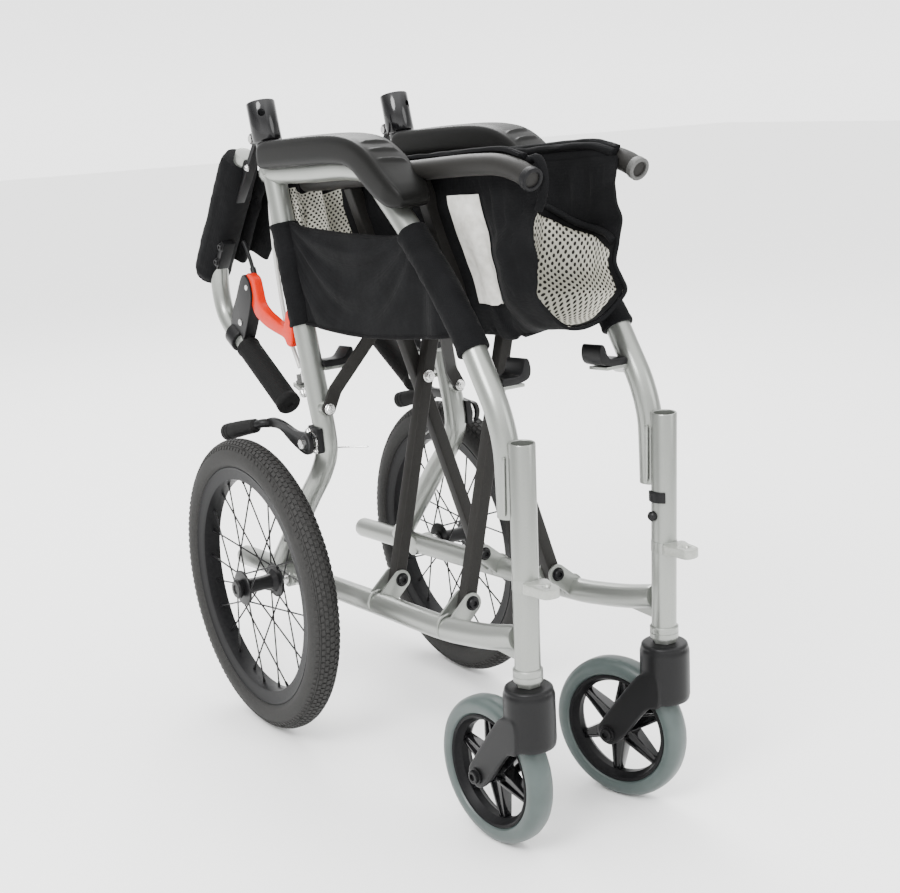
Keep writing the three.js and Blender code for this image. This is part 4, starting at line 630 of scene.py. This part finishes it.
# ------------------------------------------------------------------ sling seat
def arc(pts, n): return curve([(p[0], 0, p[1]) for p in pts], n)
VS = [(-49.2, 643), (-48.6, 639), (-40, 606), (-28, 566), (-15, 520), (-5, 484), (0, 470), (5, 484), (15, 520), (28, 566), (40, 606), (48.6, 639), (49.2, 643)]
US = [(-48.8, 643), (-47.6, 636), (-45, 612), (-58, 585), (-66, 562), (-59, 536), (-44, 508), (-26, 495), (0, 492), (30, 498), (50, 514), (57, 545), (57, 580), (52, 612), (48.6, 636), (49, 643)]
NA, NB = 168, 96
VA, UA = arc(VS, NA), arc(US, NA)
V, uv = [], []
TH = 1.5
def sling(i, j):
    v = j / NB; y = -84 - (432 - 84) * v
    w = max(0, min(1, (-y - 300) / 95)); w = w * w * (3 - 2 * w)
    p = VA[i].lerp(UA[i], w); q = abs(i / NA - .5) * 2
    k = noise.noise(Vector((p.x * .025, y * .018, p.z * .02))) * 5.5 * (1 - q ** 6) + noise.noise(Vector((p.x * .07, y * .06, p.z * .05 + 7))) * 2.2 * (1 - q ** 6)
    sgx = 1 if i > NA / 2 else -1
    lim = 1 if w > .4 else .35
    ff = max(0, (v - .35) / .65)
    cr = 0
    for (u_, s_, a_, w_) in ((.66, -.10, 6.5, .030), (.75, -.16, -5.5, .034), (.84, -.2, 5.0, .03), (.34, .12, 5.5, .035), (.23, .16, -5.0, .03)):
        cr += a_ * math.exp(-((i / NA - u_ - s_ * (1 - v)) / w_) ** 2) * ff
    cr *= lim * (1 - q ** 8)
    return Vector((p.x + (k * .8 * lim + cr) * sgx * (1 if abs(p.x) > 4 else 0), y + 2.6 * math.sin(i * .105) * (1 if v > .98 else 0), p.z + k * .3 * lim + cr * .25))
G = [[sling(i, j) for i in range(NA + 1)] for j in range(NB + 1)]
G = settle(G, lambda u, v: u < .02 or u > .98, 6.0, grow=.02, gravity=.25, bend=2.0)
def sheet_mesh(name, G, th, mats, facemat, uvs=None):
    NJ, NI = len(G) - 1, len(G[0]) - 1; V, F, FM, UVF = [], [], [], []
    nrm = [[None] * (NI + 1) for _ in range(NJ + 1)]
    for j in range(NJ + 1):
        for i in range(NI + 1):
            a = G[j][min(i + 1, NI)] - G[j][max(i - 1, 0)]; b_ = G[min(j + 1, NJ)][i] - G[max(j - 1, 0)][i]; nrm[j][i] = a.cross(b_).normalized()
    for l in (0, 1):
        for j in range(NJ + 1):
            for i in range(NI + 1): V.append(G[j][i] + nrm[j][i] * (th if l else -th))
    M_ = (NI + 1) * (NJ + 1); id_ = lambda l, j, i: l * M_ + j * (NI + 1) + i
    for l in (0, 1):
        for j in range(NJ):
            for i in range(NI):
                f = (id_(l, j, i), id_(l, j, i + 1), id_(l, j + 1, i + 1), id_(l, j + 1, i)); F.append(f if l else f[::-1]); FM.append(facemat(l, i / NI, j / NJ))
    for i in range(NI):
        for j in (0, NJ): F.append((id_(0, j, i), id_(0, j, i + 1), id_(1, j, i + 1), id_(1, j, i))); FM.append(0)
    for j in range(NJ):
        for i in (0, NI): F.append((id_(0, j, i), id_(0, j + 1, i), id_(1, j + 1, i), id_(1, j, i))); FM.append(0)
    me = bpy.data.meshes.new(name); me.from_pydata([W(*SL(*v)) if name.startswith("seat") else W(*v) for v in V], [], F)
    for mm in mats: me.materials.append(MAT[mm])
    me.polygons.foreach_set("material_index", FM)
    ul = me.uv_layers.new(name="UVMap")
    for p in me.polygons:
        for li in p.loop_indices:
            vi = me.loops[li].vertex_index % M_; j, i = divmod(vi, NI + 1); ul.data[li].uv = (uvs[0] * i / NI, uvs[1] * j / NJ) if uvs else (i / NI, j / NJ)
    bm = bmesh.new(); bm.from_mesh(me); bmesh.ops.recalc_face_normals(bm, faces=bm.faces); bm.to_mesh(me); bm.free()
    me.shade_smooth(); me.set_sharp_from_angle(angle=math.radians(75))
    ob = bpy.data.objects.new(name, me); bpy.context.collection.objects.link(ob); return ob
# the layer that faces the inside of the V carries the mesh centre, everything else is black cloth
def UB(v): return .90 - .125 * max(0, min(1, (v - .6) / .4))
def fm(l, u, v):
    ub = UB(v)
    return 1 if (l == SLIN and .12 < u < ub and .03 < v < .982) else 0
a_ = G[NB // 2][NA // 4 + 1] - G[NB // 2][NA // 4 - 1]; b_ = G[NB // 2 + 1][NA // 4] - G[NB // 2 - 1][NA // 4]
SLIN = 1 if a_.cross(b_).x > 0 else 0
seat = sheet_mesh("seat_sling_cloth", G, TH, ["fabric", "mesh"], fm, (368 / 7.2, 348 / 7.2))
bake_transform(seat)
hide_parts("seat_sling_left", "seat_sling_right")
# sleeves of the sling that wrap the seat tubes on their inner side
for nm, s, body in (("left", 1, "brace_a"), ("right", -1, "brace_b")):
    NJ, NI = 60, 16; GG = []
    for j in range(NJ + 1):
        y = -86 - (428 - 86) * j / NJ; row = []; dz = -.7 if -y < 380 else -.7 - 8 * ((-y - 380) / 48) ** 2
        for i in range(NI + 1):
            t = i / NI; a0 = math.radians(212 - (212 - 102) * t)
            rr = 12.6 + .7 * noise.noise(Vector((y * .03, t * 3, s)))
            row.append(Vector((s * (SX + rr * math.cos(a0)), y, SZ + 1.5 + dz + rr * math.sin(a0) + (1.5 if .9 < t else 0))))
        GG.append(row)
    ob = sheet_mesh(f"seat_sleeve_{nm}", GG, 1.3, ["fabric"], lambda l, u, v: 0)
    ride(ob, body, slot="fabric")

for nm, s, body in (("left", 1, "brace_a"), ("right", -1, "brace_b")):
    for kk, (aa, rr, r0) in enumerate(((34, 15.2, 4.2), (56, 15.0, 3.2)) if s < 0 else ((36, 15.2, 3.8), (57, 15.0, 3.0))):
        pts = []
        for j in range(13):
            y = -84 - (430 - 84) * j / 12; dz = 0 if -y < 380 else -9 * ((-y - 380) / 50) ** 2
            pts.append(SL(s * (SX - rr * math.cos(math.radians(aa)) * 1), y, SZ + 1.5 + dz + rr * math.sin(math.radians(aa))))
        if kk == 0 and s < 0:
            for dx, dy, dz_ in ((13.5, -441, 2), (15.5, -446, -12), (14.5, -444, -30), (12.5, -438, -44)): pts.append(SL(s * (SX - dx), dy, SZ + dz_))
        ob = tube(f"seat_roll_{nm}_{kk}", pts, r0, "fabric", 18, 110, bulge=lambda t, a, kk=kk: 1.0 * noise.noise(Vector((t * 14 + kk * 3 + s, math.cos(a), math.sin(a)))))
        ride(ob, body, slot="fabric")

# ------------------------------------------------------------------ back cloth, gathered between the sides
def curtain(name, x0, x1, fn, n, amp, phase, mats, fmat, uvs, rows=40, cols=150):
    GG = []
    for j in range(rows + 1):
        v = j / rows; row = []
        for i in range(cols + 1):
            u = i / cols; x = x0 + (x1 - x0) * u; env = min(1, u * 9, (1 - u) * 9)
            d = amp * env * math.sin(2 * math.pi * n * u + phase + .8 * math.sin(v * 3 + u * 5)) * (.75 + .35 * math.sin(v * 2.4 + 1))
            row.append(Vector(fn(x, d, v)))
        GG.append(row)
    GG = settle(GG, lambda u, v: u < .03 or u > .97, 4.0, grow=.02)
    return sheet_mesh(name, GG, 1.1, mats, fmat, uvs)
def lowfn(x, d, v): z = 650 - 146 * v - 5 * math.sin(math.pi * (x + 74) / 148); return (x, upy(z) - 2 - d * .96, z + d * .25)
lb = curtain("lower_back_mesh", -73.5, 73.5, lowfn, 5, 13.5, .4, ["fabric", "mesh"], lambda l, u, v: 1 if .05 < v < .94 else 0, (390 / 6.6, 146 / 6.6))
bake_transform(lb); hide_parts("lower_back_panel", "lower_back_hem")
def upfn(x, d, v):
    t = 30 + 140 * v - 8 * math.sin(math.pi * (x + 66) / 132) * (v - .3); p = cane(t, 6 + d); return (x, p[1], p[2])
ub = curtain("upper_back_cloth", -68, 68, upfn, 5, 15, 1.2, ["fabric"], lambda l, u, v: 0, (1, 1))
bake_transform(ub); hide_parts("upper_back_panel", "upper_back_hem")

def inner_surface(u, v, off):
    i_, j_ = u * NA, v * NB; i0, j0 = min(NA - 1, int(i_)), min(NB - 1, int(j_)); a_, b_ = i_ - i0, j_ - j0
    p = G[j0][i0].lerp(G[j0][i0 + 1], a_).lerp(G[j0 + 1][i0].lerp(G[j0 + 1][i0 + 1], a_), b_)
    n_ = (G[j0][i0 + 1] - G[j0][i0]).cross(G[j0 + 1][i0] - G[j0][i0]).normalized()
    return p + n_ * (1 if SLIN == 1 else -1) * off
edge = [(.12 + (UB(.982) - .12) * k / 40, .982) for k in range(41)] + [(UB(.982 - .6 * k / 30), .982 - .6 * k / 30) for k in range(1, 31)]
GB_ = []
for k, (u_, v_) in enumerate(edge):
    row = []
    for w_ in range(4):
        t_ = (w_ / 3 - .5) * 2
        if k <= 40: uu, vv = u_ + (.010 * t_ if k == 40 else 0), v_ + .011 * t_
        else: uu, vv = u_ + .013 * t_, v_
        row.append(inner_surface(min(.995, max(.005, uu)), min(.999, vv), TH + 1.0 + .5 * (1 - t_ * t_)))
    GB_.append(row)
roll = tube("seat_opening_roll", [tuple(SL(*inner_surface(UB(.99 - .62 * k / 12) + .014, .99 - .62 * k / 12, TH + 2.6))) for k in range(13)], lambda t: 3.4 - 1.2 * t, "fabric", 16, 80, bulge=lambda t, a: .5 * noise.noise(Vector((t * 16, math.cos(a), math.sin(a)))))
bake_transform(roll)
seam = sheet_mesh("seat_border_tape", GB_, .45, ["binding"], lambda l, u, v: 0)
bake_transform(seam)

# ------------------------------------------------------------------ blank care label on the outside of the near seat half
LV0, LV1 = .60, .745
sg_ = -1 if SLIN == 1 else 1
def near_surface(u, v):
    i_, j_ = u * NA, v * NB; i0, j0 = min(NA - 1, int(i_)), min(NB - 1, int(j_)); a_, b_ = i_ - i0, j_ - j0
    g = lambda jj, ii: G[jj][ii]
    p = g(j0, i0).lerp(g(j0, i0 + 1), a_).lerp(g(j0 + 1, i0).lerp(g(j0 + 1, i0 + 1), a_), b_)
    n_ = (g(j0, i0 + 1) - g(j0, i0)).cross(g(j0 + 1, i0) - g(j0, i0)).normalized()
    return p + n_ * sg_ * 3.4
GG = [[near_surface(.065 + .31 * j / 30, LV0 + (LV1 - LV0) * i / 8) for i in range(9)] for j in range(31)]
lbl = sheet_mesh("seat_label", GG, .4, ["label"], lambda l, u, v: 0)
ride(lbl, "seat_right_half")

# ------------------------------------------------------------------ floor and light
fl = bpy.data.meshes.new("floor"); fl.from_pydata([(-14, -14, 0), (14, -14, 0), (14, 14, 0), (-14, 14, 0)], [], [(0, 1, 2, 3)]); fo = bpy.data.objects.new("floor", fl); bpy.context.collection.objects.link(fo)
mt, nt, b = material("pale_floor", (.93, .93, .925), .55, spec=.25); fl.materials.append(mt)
def area(name, loc, target, size, power, color=(1, 1, 1)):
    ld = bpy.data.lights.new(name, "AREA"); ld.shape = "DISK"; ld.size = size; ld.energy = power; ld.color = color
    lo = bpy.data.objects.new(name, ld); bpy.context.collection.objects.link(lo); lo.location = loc
    lo.rotation_mode = "QUATERNION"; lo.rotation_quaternion = (Vector(target) - Vector(loc)).to_track_quat("-Z", "Y")
area("key", (-1.9, -1.1, 2.4), (0, 0, .4), 1.3, 95)
area("fill", (1.6, -2.6, 1.6), (0, 0, .4), 1.6, 26)
area("rim", (.9, 2.2, 2.4), (0, 0, .5), 1.6, 70)
wd = bpy.data.worlds.new("studio"); wd.use_nodes = True; bpy.context.scene.world = wd
wt = wd.node_tree; bg = wt.nodes["Background"]; bg.inputs[0].default_value = (1, 1, 1, 1)
tc = wt.nodes.new("ShaderNodeTexCoord"); dp = wt.nodes.new("ShaderNodeVectorMath"); dp.operation = "DOT_PRODUCT"; dp.inputs[1].default_value = tuple(R_); link(wt, tc, "Generated", dp, 0)
ab = wt.nodes.new("ShaderNodeMath"); ab.operation = "ABSOLUTE"; link(wt, dp, "Value", ab, 0)
r1 = wt.nodes.new("ShaderNodeValToRGB"); r1.color_ramp.elements[0].position = .5; r1.color_ramp.elements[0].color = (1, 1, 1, 1); r1.color_ramp.elements[1].position = .95; r1.color_ramp.elements[1].color = (.4, .4, .4, 1); link(wt, ab, "Value", r1, "Fac")
sp = wt.nodes.new("ShaderNodeSeparateXYZ"); link(wt, tc, "Generated", sp, "Vector")
r2 = wt.nodes.new("ShaderNodeValToRGB"); r2.color_ramp.elements[0].position = .0; r2.color_ramp.elements[0].color = (.86, .86, .86, 1); r2.color_ramp.elements[1].position = .75; r2.color_ramp.elements[1].color = (1, 1, 1, 1)
e = r2.color_ramp.elements.new(.3); e.color = (.4, .4, .4, 1); link(wt, sp, "Z", r2, "Fac")
mu = wt.nodes.new("ShaderNodeMath"); mu.operation = "MULTIPLY"; link(wt, r1, "Color", mu, 0); link(wt, r2, "Color", mu, 1)
m2 = wt.nodes.new("ShaderNodeMath"); m2.operation = "MULTIPLY"; link(wt, mu, "Value", m2, 0); m2.inputs[1].default_value = 3.6; link(wt, m2, "Value", bg, "Strength")
